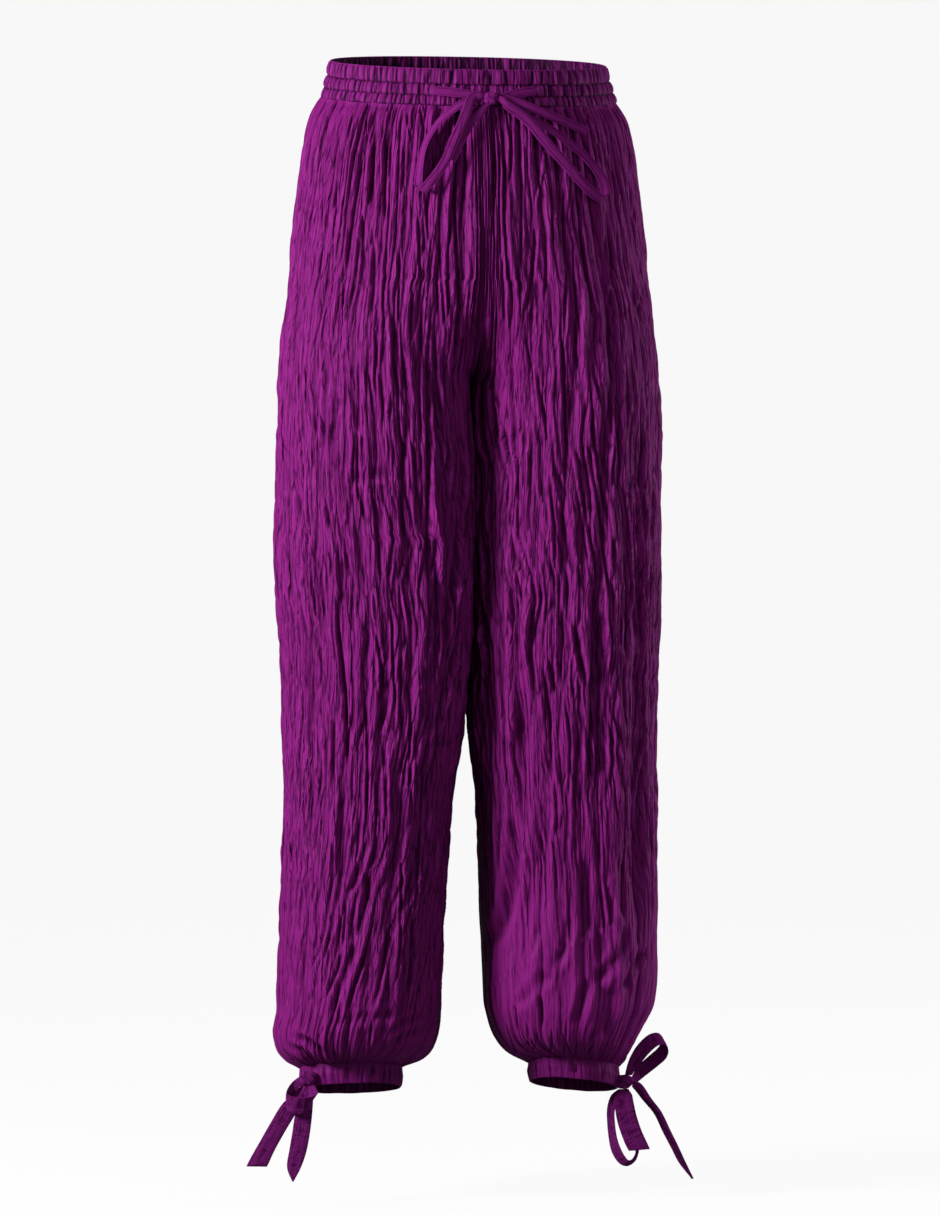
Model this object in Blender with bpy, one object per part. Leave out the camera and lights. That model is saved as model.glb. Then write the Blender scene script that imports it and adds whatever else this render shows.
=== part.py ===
"""Balloon joggers in crinkled taffeta, in their worn shape with no wearer inside.

Two front and two back leg panels hang from a waistband sewn in three gathered channels. The drawstring
leaves the middle channel and is tied in a bow. Each leg is gathered into a narrow cuff band whose ends are
tied in a bow at the outer ankle.

Frame: the origin is the middle of the waist opening, +Z is up, the front faces -Y, and +X is the wearer's
left. Sizes below are millimetres; METRE turns them into Blender's metres.
"""

import math

import bpy
import numpy as np

METRE = 0.001

# Cloth and seams
WALL = 1.6
BAND_WALL = 2.4
SEAM_GAP = 0.3
STRING_THICK = 1.2
TIE_THICK = 1.5

# Gathers: waves round the waistband and round each cuff, and how deep these and the legs' folds are. A
# wave keeps the share STITCHED_WAVE of its depth at a line of stitching.
WAISTBAND_GATHERS = 66
CUFF_GATHERS = 20
FOLD_DEPTH = 3.6
SEAM_FOLD_DEPTH = 0.9
BAND_GATHER_DEPTH = 1.0
CUFF_GATHER_DEPTH = 0.45
WAVE_UNEVENNESS = 0.3
WAVE_BEAT = 1.7
STITCHED_WAVE = 0.4

# Share of a panel's girth that its crotch hook and inner thigh take, without folds, down the leg. Where
# both legs still share one tube a panel ends at the centre plane, and its hook keeps at least LEAST_HOOK.
HOOKS = (
    # z, front, back
    (-303.0, 0.25, 0.25),
    (-456.0, 0.215, 0.26),
    (-560.0, 0.20, 0.28),
)
LEAST_HOOK = 0.05
HOOK_COLUMNS = 3

# The outseam lies this share of the way round a leg, from the innermost point by the front
OUTSEAM_SHARE = 0.48

# The squareness of an outline's outer half: 2 is an ellipse, more is squarer
OUTER_SQUARENESS = 2.15
OUTLINE_POINTS = 361

# Level rows of the cloth. z: height of the row's middle. outer, inner: reach from the centre plane, where a
# negative inner reach means that both legs still share one tube. front, back: depth. tilt: how much higher
# the back is than the front. roll: how much higher the outer side is than the inner side. squareness: how
# square the inner half is, where 2 is an ellipse, as where the legs press together.
HIP_ROWS = (
    # z, outer, inner, front, back, tilt, roll, squareness
    (-18.5, 149.0, -149.0, -101.0, 102.0, 34.5, 0.0, 2.7),
    (-36.0, 158.5, -158.5, -106.0, 108.0, 30.0, 0.0, 2.7),
    (-76.0, 168.0, -166.0, -113.0, 118.0, 22.0, 0.0, 2.7),
    (-116.0, 173.5, -166.0, -118.0, 126.0, 15.0, 0.0, 2.7),
    (-160.0, 178.5, -140.0, -121.0, 131.0, 8.0, 0.0, 2.7),
    (-205.0, 182.0, -90.0, -121.0, 131.0, 3.0, 0.0, 2.7),
    (-245.0, 186.0, -40.0, -119.0, 128.0, 0.0, 0.0, 2.7),
    (-273.0, 188.5, -15.0, -117.0, 123.0, 0.0, 0.0, 2.7),
    (-293.0, 190.0, -3.5, -115.0, 119.0, 0.0, 0.0, 2.7),
    (-303.0, 190.5, 0.6, -114.0, 118.0, 0.0, 0.0, 2.7),
)
RIGHT_LEG_ROWS = (
    # z, outer, inner, front, back, tilt, roll, squareness
    (-340.0, 191.5, 1.2, -112.0, 113.0, 0.0, 0.0, 2.8),
    (-456.0, 195.5, 0.8, -108.0, 107.0, 0.0, 0.0, 3.2),
    (-540.0, 191.5, 0.8, -105.0, 103.0, 0.0, 0.0, 3.2),
    (-620.0, 188.5, 7.0, -101.0, 100.0, 0.0, 0.0, 3.1),
    (-720.0, 187.5, 20.0, -98.0, 98.0, 0.0, 0.0, 2.8),
    (-820.0, 188.5, 27.0, -96.0, 97.0, 0.0, 0.0, 2.5),
    (-880.0, 191.5, 28.0, -96.0, 98.0, -2.0, 0.0, 2.35),
    (-920.0, 193.0, 29.5, -95.0, 97.0, -5.0, 0.0, 2.35),
    (-946.0, 196.5, 32.0, -90.0, 94.0, -9.0, 0.0, 2.35),
    (-963.0, 193.0, 37.0, -81.0, 86.0, -13.0, 0.0, 2.35),
    (-975.0, 184.0, 47.0, -68.0, 71.0, -16.0, 0.0, 2.35),
    (-984.0, 170.0, 67.0, -47.0, 45.0, -19.0, 0.0, 2.35),
)
LEFT_LEG_ROWS = (
    # z, outer, inner, front, back, tilt, roll, squareness
    (-340.0, 191.5, 1.2, -112.0, 113.0, 0.0, 0.0, 2.6),
    (-456.0, 195.0, 0.8, -108.0, 107.0, 0.0, 0.0, 2.45),
    (-540.0, 193.0, 0.8, -105.0, 103.0, 0.0, 0.0, 2.4),
    (-620.0, 190.0, 2.0, -101.0, 100.0, 0.0, 0.0, 2.35),
    (-720.0, 190.0, 9.5, -98.0, 98.0, 0.0, 0.0, 2.35),
    (-820.0, 191.0, 15.0, -97.0, 98.0, 0.0, 0.0, 2.35),
    (-880.0, 191.0, 16.5, -97.0, 98.0, -2.0, 0.0, 2.35),
    (-920.0, 187.5, 17.0, -96.0, 97.0, -5.0, -2.0, 2.35),
    (-941.0, 178.0, 21.5, -91.0, 93.0, -9.0, -4.0, 2.35),
    (-959.0, 168.0, 29.0, -81.0, 83.0, -13.0, -6.0, 2.35),
    (-972.0, 161.0, 40.0, -67.0, 69.0, -16.0, -8.0, 2.35),
    (-983.5, 152.0, 61.0, -46.0, 44.0, -19.0, -10.0, 2.35),
)
SIDES = {"right": (-1.0, HIP_ROWS + RIGHT_LEG_ROWS), "left": (1.0, HIP_ROWS + LEFT_LEG_ROWS)}

# Where a panel's solid has its rows, as places between the rows above, closer at the waist and the hem
PANEL_ROWS = (
    *(0, 0.5, 1.2, 2, 3, 4, 5, 6, 7, 8, 9, 10),
    *(10.8, 11.5, 12.5, 13.5, 14.5, 15.6, 17, 18, 19, 20, 21),
)

# Troughs of a front panel, from the outseam to the centre front. shift: how far a trough stands from its
# even place, in fold widths. lean: how far it moves towards the centre front by the hem. hip, knee, calf:
# its depth there, as a share of FOLD_DEPTH.
RIGHT_FRONT_FOLDS = (
    # shift, lean, hip, knee, calf
    (0.10, -0.2, 0.5, 0.6, 0.5),
    (-0.15, 0.1, 0.9, 0.7, 0.9),
    (0.20, 0.4, 0.7, 1.5, 1.2),
    (-0.10, 0.3, 0.8, 1.0, 0.6),
    (0.15, 0.6, 1.1, 0.7, 1.5),
    (0.00, 0.2, 1.5, 1.3, 0.9),
    (-0.20, 0.1, 1.2, 0.6, 0.8),
    (0.10, -0.3, 0.7, 1.4, 1.3),
    (0.20, -0.5, 1.0, 0.9, 1.1),
    (-0.15, -0.2, 0.8, 1.2, 0.7),
    (0.05, 0.1, 0.7, 0.7, 1.0),
)
LEFT_FRONT_FOLDS = (
    # shift, lean, hip, knee, calf
    (0.05, 0.2, 0.6, 0.8, 0.6),
    (0.20, -0.3, 1.3, 1.1, 0.8),
    (-0.10, -0.4, 0.7, 1.4, 1.5),
    (0.15, -0.2, 0.9, 0.6, 1.0),
    (-0.20, 0.1, 0.7, 1.0, 0.7),
    (0.10, 0.5, 1.4, 1.5, 1.0),
    (0.00, 0.3, 0.8, 0.8, 1.4),
    (-0.15, 0.4, 1.2, 1.2, 0.7),
    (0.20, 0.2, 0.9, 0.7, 1.2),
    (0.05, -0.1, 0.7, 1.3, 0.9),
    (-0.10, -0.3, 0.6, 0.8, 1.0),
)
HIP_Z, KNEE_Z, CALF_Z = -180.0, -560.0, -860.0

# Troughs reach their depth this far below the waist seam and above the hem, and move sideways by these
# shares of a fold's width for each unit of shift and lean
WAIST_FADE = 70.0
HEM_FADE = 60.0
SHIFT_SHARE = 0.6
LEAN_SHARE = 0.5

# Rows of the waistband, bottom to top. puff is how far a channel stands out past the row's reach, and is
# least at a line of stitching.
BAND_ROWS = (
    # z, half_width, front, back, tilt, puff
    (-18.2, 147.5, -100.5, 101.5, 34.5, 0.3),
    (-13.0, 146.0, -100.0, 101.0, 35.0, 1.7),
    (-7.6, 144.0, -99.2, 100.2, 35.5, 0.1),
    (-1.8, 142.5, -98.8, 99.8, 36.0, 1.8),
    (4.0, 140.5, -98.2, 99.2, 36.5, 0.1),
    (11.0, 139.5, -97.6, 98.6, 36.5, 1.7),
    (18.2, 138.5, -97.0, 98.0, 36.0, 0.3),
)

# Rings of a cuff: how far below the leg's hem each one lies, and how much wider it is than the hem
CUFF_RINGS = (
    # below, wider
    (0.4, -0.2),
    (9.5, 0.8),
    (19.5, -1.0),
)

# Ribbons. width: of the flat ribbon. lean: the angle of its cross direction, in degrees from +X towards +Z.
# swing: how far that direction turns towards the viewer in front, in degrees.
# The drawstring's rows give out, how far it lies in front of the hips, and the ankle ties' rows give y.
STRING_KNOT = (6.5, 7.0, -28.4)
STRING_KNOT_RADII = (7.0, 5.4, 6.3)
STRINGS = {
    # x, out, z, width, lean, swing
    "drawstring_right_run": (
        (-48.5, 2.6, -20.6, 9.0, 86.0, 0.0),
        (-31.0, 3.0, -22.3, 9.5, 85.0, 0.0),
        (-14.0, 3.0, -24.4, 8.5, 83.0, 0.0),
        (-0.5, 3.9, -27.4, 6.0, 89.0, 0.0),
    ),
    "drawstring_left_run": (
        (52.5, 2.6, -18.9, 9.0, 96.0, 0.0),
        (36.5, 3.0, -22.1, 9.5, 101.0, 0.0),
        (24.0, 3.0, -25.2, 8.5, 104.0, 0.0),
        (13.5, 3.4, -27.6, 6.0, 91.0, 0.0),
    ),
    "drawstring_right_loop": (
        (-1.2, 10.4, -26.5, 6.0, -95.0, 0.0),
        (-8.5, 11.4, -26.0, 9.0, -80.0, 0.0),
        (-14.5, 11.4, -31.5, 10.0, -50.0, 0.0),
        (-18.3, 11.0, -42.0, 10.0, -27.0, 0.0),
        (-24.4, 11.0, -57.0, 10.0, -24.0, 0.0),
        (-31.5, 10.0, -72.0, 10.0, -26.0, 0.0),
        (-38.0, 9.0, -88.0, 9.5, -29.0, 0.0),
        (-46.6, 8.5, -102.0, 9.5, -35.0, 0.0),
        (-57.0, 8.0, -115.0, 9.5, -40.0, 0.0),
        (-62.5, 6.2, -120.0, 9.5, -36.0, 0.0),
        (-65.3, 4.4, -116.0, 9.5, -22.0, 10.0),
        (-65.0, 4.4, -107.0, 9.5, -6.0, 40.0),
        (-62.0, 4.4, -86.5, 9.5, -12.0, 55.0),
        (-57.0, 4.4, -71.0, 9.5, -28.0, 56.0),
        (-48.0, 4.4, -56.5, 9.5, -40.0, 54.0),
        (-37.4, 4.6, -45.5, 9.0, -47.0, 40.0),
        (-22.6, 6.2, -34.5, 8.0, -54.0, 16.0),
        (-10.0, 7.5, -30.6, 7.0, -72.0, 0.0),
        (-1.2, 7.6, -29.2, 6.0, -80.0, 0.0),
    ),
    "drawstring_left_loop": (
        (14.6, 10.0, -29.0, 6.0, 80.0, 0.0),
        (22.0, 10.4, -36.0, 9.0, 56.0, 0.0),
        (34.0, 9.6, -43.6, 9.5, 50.0, 0.0),
        (46.0, 9.2, -54.0, 10.0, 42.0, 0.0),
        (58.4, 8.8, -68.6, 10.0, 40.0, 0.0),
        (70.5, 8.4, -82.0, 10.0, 41.0, 0.0),
        (83.0, 8.4, -94.6, 10.0, 43.0, 0.0),
        (95.7, 8.6, -108.0, 10.0, 43.0, 0.0),
        (107.0, 8.6, -117.8, 10.0, 47.0, 0.0),
        (116.5, 8.0, -123.0, 10.0, 52.0, 0.0),
        (121.5, 6.0, -123.0, 10.0, 48.0, 0.0),
        (123.0, 4.4, -117.0, 10.0, 38.0, 0.0),
        (120.5, 3.8, -105.0, 10.0, 30.0, 0.0),
        (112.0, 3.4, -92.5, 9.0, 38.0, 0.0),
        (100.6, 3.4, -81.0, 8.0, 48.0, 8.0),
        (89.4, 3.4, -73.0, 8.0, 53.0, 12.0),
        (76.7, 3.4, -64.2, 7.5, 55.0, 12.0),
        (66.0, 3.4, -57.0, 7.5, 57.0, 8.0),
        (53.5, 3.6, -50.6, 7.5, 59.0, 0.0),
        (35.6, 4.4, -41.0, 7.5, 60.0, 0.0),
        (22.5, 5.1, -34.0, 6.5, 62.0, 0.0),
        (14.6, 5.3, -29.2, 5.5, 82.0, 0.0),
    ),
    "drawstring_left_tail": (
        (14.6, 7.9, -27.0, 6.0, 82.0, 0.0),
        (24.0, 8.1, -30.0, 8.0, 72.0, 0.0),
        (38.0, 8.1, -34.2, 8.5, 70.0, 5.0),
        (53.4, 7.2, -39.5, 8.5, 70.0, 8.0),
        (69.0, 6.0, -45.0, 9.0, 70.0, 10.0),
        (85.0, 4.2, -50.4, 9.0, 70.0, 10.0),
        (98.0, 3.4, -55.2, 9.0, 66.0, 5.0),
        (105.0, 3.2, -58.4, 9.5, 50.0, 0.0),
    ),
    "drawstring_right_tail": (
        (2.5, 5.2, -35.6, 6.0, -10.0, 0.0),
        (-3.5, 5.8, -42.0, 8.0, -32.0, 0.0),
        (-12.5, 6.8, -51.0, 9.0, -30.0, 0.0),
        (-20.0, 7.4, -63.0, 9.0, -26.0, 0.0),
        (-27.0, 7.0, -77.0, 9.0, -26.0, 0.0),
        (-33.0, 6.4, -90.0, 9.0, -40.0, 0.0),
    ),
}
TIE_KNOTS = {"right_tie_knot": (-165.5, -36.5, -990.0), "left_tie_knot": (155.1, -22.5, -1000.0)}
TIE_KNOT_RADII = (6.2, 5.2, 6.5)
TIES = {
    # x, y, z, width, lean, swing
    "right_tie_loop": (
        (-172.2, -36.3, -991.5, 7.0, 100.0, 0.0),
        (-176.5, -33.8, -997.5, 13.0, 98.0, 10.0),
        (-181.5, -32.8, -1003.5, 17.0, 95.0, 20.0),
        (-185.8, -35.3, -1009.5, 19.0, 92.0, 28.0),
        (-186.5, -40.3, -1013.0, 20.0, 92.0, 28.0),
        (-181.5, -45.3, -1015.5, 21.0, 92.0, 28.0),
        (-173.0, -47.8, -1016.5, 21.0, 90.0, 28.0),
        (-164.5, -46.8, -1014.0, 18.0, 72.0, 28.0),
        (-160.8, -43.8, -1006.0, 12.0, 30.0, 25.0),
        (-162.0, -39.5, -996.9, 7.0, 0.0, 10.0),
    ),
    "right_tie_tail_a": (
        (-167.3, -33.7, -996.8, 6.5, 0.0, 0.0),
        (-171.0, -28.8, -1004.0, 10.0, -15.0, 0.0),
        (-176.0, -22.8, -1013.0, 14.0, -25.0, 0.0),
        (-183.0, -19.3, -1023.0, 17.0, -28.0, 0.0),
        (-194.5, -17.3, -1042.5, 17.0, -29.0, 0.0),
        (-205.5, -15.8, -1062.5, 17.5, -26.0, 0.0),
        (-214.0, -15.3, -1079.0, 20.5, -2.0, 0.0),
    ),
    "right_tie_tail_b": (
        (-165.5, -35.9, -996.9, 8.0, 0.0, 0.0),
        (-167.0, -36.8, -1008.0, 14.0, -4.0, 0.0),
        (-169.5, -36.8, -1026.0, 17.0, -6.0, 0.0),
        (-172.0, -35.8, -1045.0, 17.5, -7.0, 0.0),
        (-175.0, -34.8, -1062.0, 17.0, -12.0, 0.0),
        (-179.0, -34.3, -1078.5, 13.5, -8.0, 0.0),
        (-179.8, -34.3, -1092.0, 1.6, 0.0, 0.0),
    ),
    "left_tie_upper_loop": (
        (158.0, -24.0, -992.9, 7.0, 178.0, -8.0),
        (161.5, -24.5, -984.5, 10.0, 165.0, -14.0),
        (166.5, -23.0, -976.5, 13.0, 150.0, -22.0),
        (174.0, -19.5, -967.5, 15.0, 134.0, -30.0),
        (184.5, -15.0, -959.5, 16.0, 124.0, -37.0),
        (194.0, -9.5, -958.5, 16.0, 112.0, -42.0),
        (199.0, -5.0, -965.0, 16.0, 112.0, -45.0),
        (196.5, -1.0, -973.5, 16.0, 120.0, -42.0),
        (187.5, 1.0, -982.0, 15.5, 126.0, -40.0),
        (175.5, -2.0, -991.0, 13.5, 122.0, -32.0),
        (167.0, -10.0, -997.5, 10.0, 104.0, -12.0),
        (162.0, -18.5, -1000.0, 7.0, 92.0, 8.0),
    ),
    "left_tie_lower_loop": (
        (150.5, -22.2, -1007.3, 5.5, 0.0, 10.0),
        (145.5, -16.0, -1015.0, 10.0, 0.0, 45.0),
        (142.7, -10.0, -1029.0, 14.0, 0.0, 66.0),
        (143.7, -6.0, -1044.0, 16.0, 0.0, 70.0),
        (145.7, -5.0, -1058.0, 16.5, 5.0, 68.0),
        (149.0, -5.0, -1070.0, 17.0, 25.0, 62.0),
        (154.5, -5.0, -1079.5, 17.0, 55.0, 60.0),
        (160.5, -5.5, -1083.3, 17.0, 90.0, 63.0),
        (166.5, -6.5, -1080.0, 17.0, 130.0, 66.0),
        (169.8, -8.0, -1071.0, 16.0, 170.0, 68.0),
        (168.0, -10.0, -1056.0, 15.0, 195.0, 68.0),
        (162.5, -13.5, -1038.0, 13.0, 200.0, 60.0),
        (158.0, -17.0, -1020.0, 9.0, 190.0, 45.0),
        (156.5, -19.6, -1007.3, 6.0, 180.0, 15.0),
    ),
    "left_tie_tail_a": (
        (154.0, -24.6, -1007.0, 8.0, 0.0, 0.0),
        (152.5, -28.0, -1013.0, 17.0, 8.0, 0.0),
        (153.0, -29.0, -1022.0, 19.5, 14.0, 0.0),
        (156.0, -29.0, -1037.0, 20.5, 20.0, 0.0),
        (162.0, -28.5, -1054.0, 20.5, 22.0, 0.0),
        (168.5, -28.0, -1067.5, 21.5, 4.0, 0.0),
    ),
    "left_tie_tail_b": (
        (162.0, -26.0, -1001.5, 6.0, 78.0, 0.0),
        (168.5, -23.0, -1005.5, 11.0, 54.0, 36.0),
        (178.5, -18.0, -1018.5, 14.0, 42.0, 60.0),
        (190.0, -13.0, -1032.6, 15.0, 36.0, 66.0),
        (199.5, -9.0, -1051.0, 16.0, 28.0, 68.0),
        (209.0, -5.0, -1068.6, 16.0, 28.0, 70.0),
        (217.0, -2.0, -1084.0, 15.0, 28.0, 72.0),
        (228.0, 1.0, -1100.6, 5.0, 28.0, 74.0),
    ),
}
RIBBON_STEPS = 2
KNOT_SQUARENESS = 3.5
KNOT_COLUMNS = 14
KNOT_ROWS = 8

CLOTH_COLOUR = (0.125, 0.010, 0.098, 1.0)
BAND_COLOUR = (0.115, 0.009, 0.090, 1.0)
TIE_COLOUR = (0.100, 0.008, 0.080, 1.0)
ROUGHNESS = 0.42


def clear_scene():
    for thing in list(bpy.data.objects):
        bpy.data.objects.remove(thing)


def material(name, colour):
    made = bpy.data.materials.new(name)
    made.use_nodes = True
    shader = made.node_tree.nodes["Principled BSDF"]
    shader.inputs["Base Color"].default_value = colour
    shader.inputs["Roughness"].default_value = ROUGHNESS
    shader.inputs["Metallic"].default_value = 0.0
    made.diffuse_color = colour
    return made


def ease(value):
    value = np.clip(value, 0.0, 1.0)
    return value * value * (3.0 - 2.0 * value)


def steady_slopes(rows):
    """Slopes at the rows that keep a curve from passing beyond its neighbouring rows."""
    steps = np.diff(rows, axis=0)
    before, after = steps[:-1], steps[1:]
    total = np.where(before * after > 0.0, before + after, 1.0)
    inside = np.where(before * after > 0.0, 2.0 * before * after / total, 0.0)
    return np.concatenate([steps[:1], inside, steps[-1:]])


def through(rows, at, slopes):
    """The rows' values at fractional row numbers, on smooth curves with the given slopes at the rows."""
    at = np.clip(np.asarray(at, float), 0.0, len(rows) - 1.0)
    low = np.minimum(at.astype(int), len(rows) - 2)
    part = (at - low)[:, None]
    near, far = rows[low], rows[low + 1]
    return (
        near * (1.0 + 2.0 * part) * (1.0 - part) ** 2
        + slopes[low] * part * (1.0 - part) ** 2
        + far * part**2 * (3.0 - 2.0 * part)
        - slopes[low + 1] * part**2 * (1.0 - part)
    )


def squared(value, squareness):
    return np.sign(value) * np.abs(value) ** (2.0 / squareness)


def outline(row):
    """A leg's closed outline, as if it were the left one, from its innermost point by the front."""
    z, outer, inner, front, back, tilt, roll, squareness_inside = row
    turn = np.linspace(0.0, 2.0 * math.pi, OUTLINE_POINTS)
    squareness = np.where(np.cos(turn) > 0.0, squareness_inside, OUTER_SQUARENESS)
    middle, half = (outer + inner) / 2.0, (outer - inner) / 2.0
    centre, depth = (front + back) / 2.0, (back - front) / 2.0
    x = middle - half * squared(np.cos(turn), squareness)
    y = centre - depth * squared(np.sin(turn), squareness)
    height = z + tilt * (y - centre) / (2.0 * depth) + roll * (x - middle) / (2.0 * half)
    return np.stack([x, y, height], axis=1)


def lengths_along(line):
    steps = np.linalg.norm(np.diff(line, axis=0), axis=1)
    return np.concatenate([[0.0], np.cumsum(steps)])


def at_lengths(line, wanted):
    """Points at lengths along a line."""
    along = lengths_along(line)
    return np.stack([np.interp(wanted, along, line[:, k]) for k in range(3)], axis=1)


def half_outline(row, part):
    """The length at the outseam and the length where a front or back panel ends.

    A panel ends at the centre plane where both legs share one tube, and else at the innermost point.
    """
    line = outline(row)
    along = lengths_along(line)
    seam = OUTSEAM_SHARE * along[-1]
    past_centre = line[:, 0] >= SEAM_GAP / 2.0
    if past_centre.all():
        return line, seam, SEAM_GAP / 2.0 if part == "front" else along[-1] - SEAM_GAP / 2.0
    first = np.flatnonzero(past_centre)[0 if part == "front" else -1]
    before = first - 1 if part == "front" else first + 1
    share = (SEAM_GAP / 2.0 - line[before, 0]) / (line[first, 0] - line[before, 0])
    return line, seam, along[before] + share * (along[first] - along[before])


def fold_lines(folds, down):
    """Where a panel's lines stand across it, from 0 at the outseam to 1 at the last fold.

    The lines run edge, trough, ridge, trough and so on. down is 0 at the waist and 1 at the hem.
    """
    count = len(folds)
    table = np.asarray(folds, float)
    shift, lean = table[:, 0], table[:, 1]
    troughs = (np.arange(count) + 0.5 + SHIFT_SHARE * shift + LEAN_SHARE * lean * down) / count
    places = np.zeros(2 * count + 1)
    places[1::2] = troughs
    places[2:-1:2] = (troughs[1:] + troughs[:-1]) / 2.0
    places[-1] = 1.0
    return places


def fold_depths(folds, z):
    """How far each of those lines stands back from the outline, as a share of the fold depth."""
    troughs = np.array([np.interp(-z, (-HIP_Z, -KNEE_Z, -CALF_Z), row[2:5]) for row in folds])
    depths = np.zeros(2 * len(folds) + 1)
    depths[1::2] = -troughs
    return depths


def base_normals(grid):
    """Unit normals of a grid of points, pointing away from the leg."""
    down = np.gradient(grid, axis=0)
    across = np.gradient(grid, axis=1)
    normal = np.cross(across, down)
    return normal / np.linalg.norm(normal, axis=2, keepdims=True)


def panel_grid(side_name, part, folds, row_places):
    """The outer and inner points of one leg panel, row by row from the waist to the hem."""
    side, table = SIDES[side_name]
    table = np.asarray(table, float)
    rows = through(table, row_places, steady_slopes(table))
    heights, front_shares, back_shares = np.asarray(HOOKS).T
    shares = front_shares if part == "front" else back_shares
    toward = -1.0 if part == "front" else 1.0
    base, amount = [], []
    for number, row in enumerate(rows):
        line, seam, end = half_outline(row, part)
        start = seam + toward * SEAM_GAP / 2.0
        width = abs(end - start)
        whole_width = seam if part == "front" else lengths_along(line)[-1] - seam
        hook_share = np.interp(-row[0], -heights, shares)
        core = min(whole_width * (1.0 - hook_share), width * (1.0 - LEAST_HOOK))
        down = number / (len(rows) - 1.0)
        hook = core + (width - core) * np.arange(1, HOOK_COLUMNS + 1) / HOOK_COLUMNS
        points = at_lengths(line, start + toward * np.concatenate([fold_lines(folds, down) * core, hook]))
        depth = np.concatenate([fold_depths(folds, row[0]), np.zeros(HOOK_COLUMNS)])
        top = ease((rows[0][0] - row[0]) / WAIST_FADE)
        hem = ease((row[0] - rows[-1][0]) / HEM_FADE)
        scale = SEAM_FOLD_DEPTH + (FOLD_DEPTH - SEAM_FOLD_DEPTH) * np.minimum(top, hem)
        base.append(points * np.array([side, 1.0, 1.0]))
        amount.append(depth * scale)
    base, amount = np.asarray(base), np.asarray(amount)[:, :, None]
    normal = base_normals(base)
    if normal[1, 3] @ base[1, 3] < 0.0:
        normal = -normal
    outer = base + normal * amount
    return outer, outer - normal * WALL


def quads(first, second, turned):
    faces = []
    for a, b, c, d in zip(first[:-1], first[1:], second[1:], second[:-1]):
        faces.append((a, d, c, b) if turned else (a, b, c, d))
    return faces


def wall(name, outer, inner, look, closed=False):
    """A closed solid between two grids of points. A closed wall joins its last column to its first."""
    rows, columns = outer.shape[:2]
    points = np.concatenate([outer.reshape(-1, 3), inner.reshape(-1, 3)])
    numbers = np.arange(rows * columns).reshape(rows, columns)
    if closed:
        numbers = np.concatenate([numbers, numbers[:, :1]], axis=1)
    under = numbers + rows * columns
    faces = []
    for row in range(rows - 1):
        faces += quads(numbers[row], numbers[row + 1], True)
        faces += quads(under[row], under[row + 1], False)
    faces += quads(numbers[0], under[0], False)
    faces += quads(numbers[-1], under[-1], True)
    if not closed:
        faces += quads(numbers[:, 0], under[:, 0], True)
        faces += quads(numbers[:, -1], under[:, -1], False)
    return solid(name, points, faces, look)


def solid(name, points, faces, look):
    volume = 0.0
    for face in faces:
        start = points[face[0]]
        for second, third in zip(face[1:-1], face[2:]):
            volume += start @ np.cross(points[second], points[third])
    if volume < 0.0:
        faces = [face[::-1] for face in faces]
    mesh = bpy.data.meshes.new(name)
    faces = [tuple(map(int, face)) for face in faces]
    mesh.from_pydata([tuple(point) for point in points * METRE], [], faces)
    mesh.shade_smooth()
    mesh.materials.append(look)
    made = bpy.data.objects.new(name, mesh)
    bpy.context.scene.collection.objects.link(made)
    return made


def leg_panels():
    for side_name, front_folds, back_folds in (
        ("right", RIGHT_FRONT_FOLDS, LEFT_FRONT_FOLDS),
        ("left", LEFT_FRONT_FOLDS, RIGHT_FRONT_FOLDS),
    ):
        for part, folds in (("front", front_folds), ("back", back_folds)):
            name = f"{side_name}_{part}_leg"
            outer, inner = panel_grid(side_name, part, folds, PANEL_ROWS)
            wall(name, outer, inner, material(name + "_cloth", CLOTH_COLOUR))


def outward(line):
    """Level unit normals of a closed line of points that runs round by the front, then the left side."""
    along = np.roll(line, -1, axis=0) - np.roll(line, 1, axis=0)
    normal = np.stack([along[:, 1], -along[:, 0], np.zeros(len(line))], axis=1)
    return normal / np.linalg.norm(normal, axis=1, keepdims=True)


def zigzag(count, depth):
    """Waves of uneven depth, a crest and a trough each, round a closed line."""
    place = np.arange(count)
    return depth * np.where(place % 2, -1.0, 1.0) * (1.0 + WAVE_UNEVENNESS * np.sin(WAVE_BEAT * place))


def closed_ring(row, count):
    """A whole outline, as one tube, in even steps."""
    line = outline((*row, OUTER_SQUARENESS))
    return at_lengths(line, np.arange(count) / count * lengths_along(line)[-1])


def waistband():
    count = 2 * WAISTBAND_GATHERS
    outer, inner = [], []
    for z, half_width, front, back, tilt, puff in BAND_ROWS:
        ring = closed_ring((z, half_width, -half_width, front, back, tilt, 0.0), count)
        normal = outward(ring)
        loose = STITCHED_WAVE + (1.0 - STITCHED_WAVE) * min(1.0, puff)
        wave = zigzag(count, BAND_GATHER_DEPTH * loose)
        outer.append(ring + normal * (puff + wave)[:, None])
        inner.append(ring + normal * (wave - BAND_WALL)[:, None])
    look = material("waistband_cloth", BAND_COLOUR)
    wall("waistband", np.asarray(outer), np.asarray(inner), look, closed=True)


def cuffs():
    for side_name, (side, table) in SIDES.items():
        z, outer_reach, inner_reach, front, back, tilt, roll, squareness = table[-1]
        count = 2 * CUFF_GATHERS
        wave = zigzag(count, CUFF_GATHER_DEPTH)[:, None]
        outer, inner = [], []
        for below, wider in CUFF_RINGS:
            reaches = (outer_reach + wider, inner_reach - wider, front - wider, back + wider)
            ring = closed_ring((z - below, *reaches, tilt, roll), count) * np.array([side, 1.0, 1.0])
            normal = outward(ring) * side
            outer.append(ring + normal * wave)
            inner.append(ring + normal * (wave - BAND_WALL))
        name = side_name + "_cuff"
        wall(name, np.asarray(outer), np.asarray(inner), material(name + "_cloth", BAND_COLOUR), closed=True)


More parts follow.
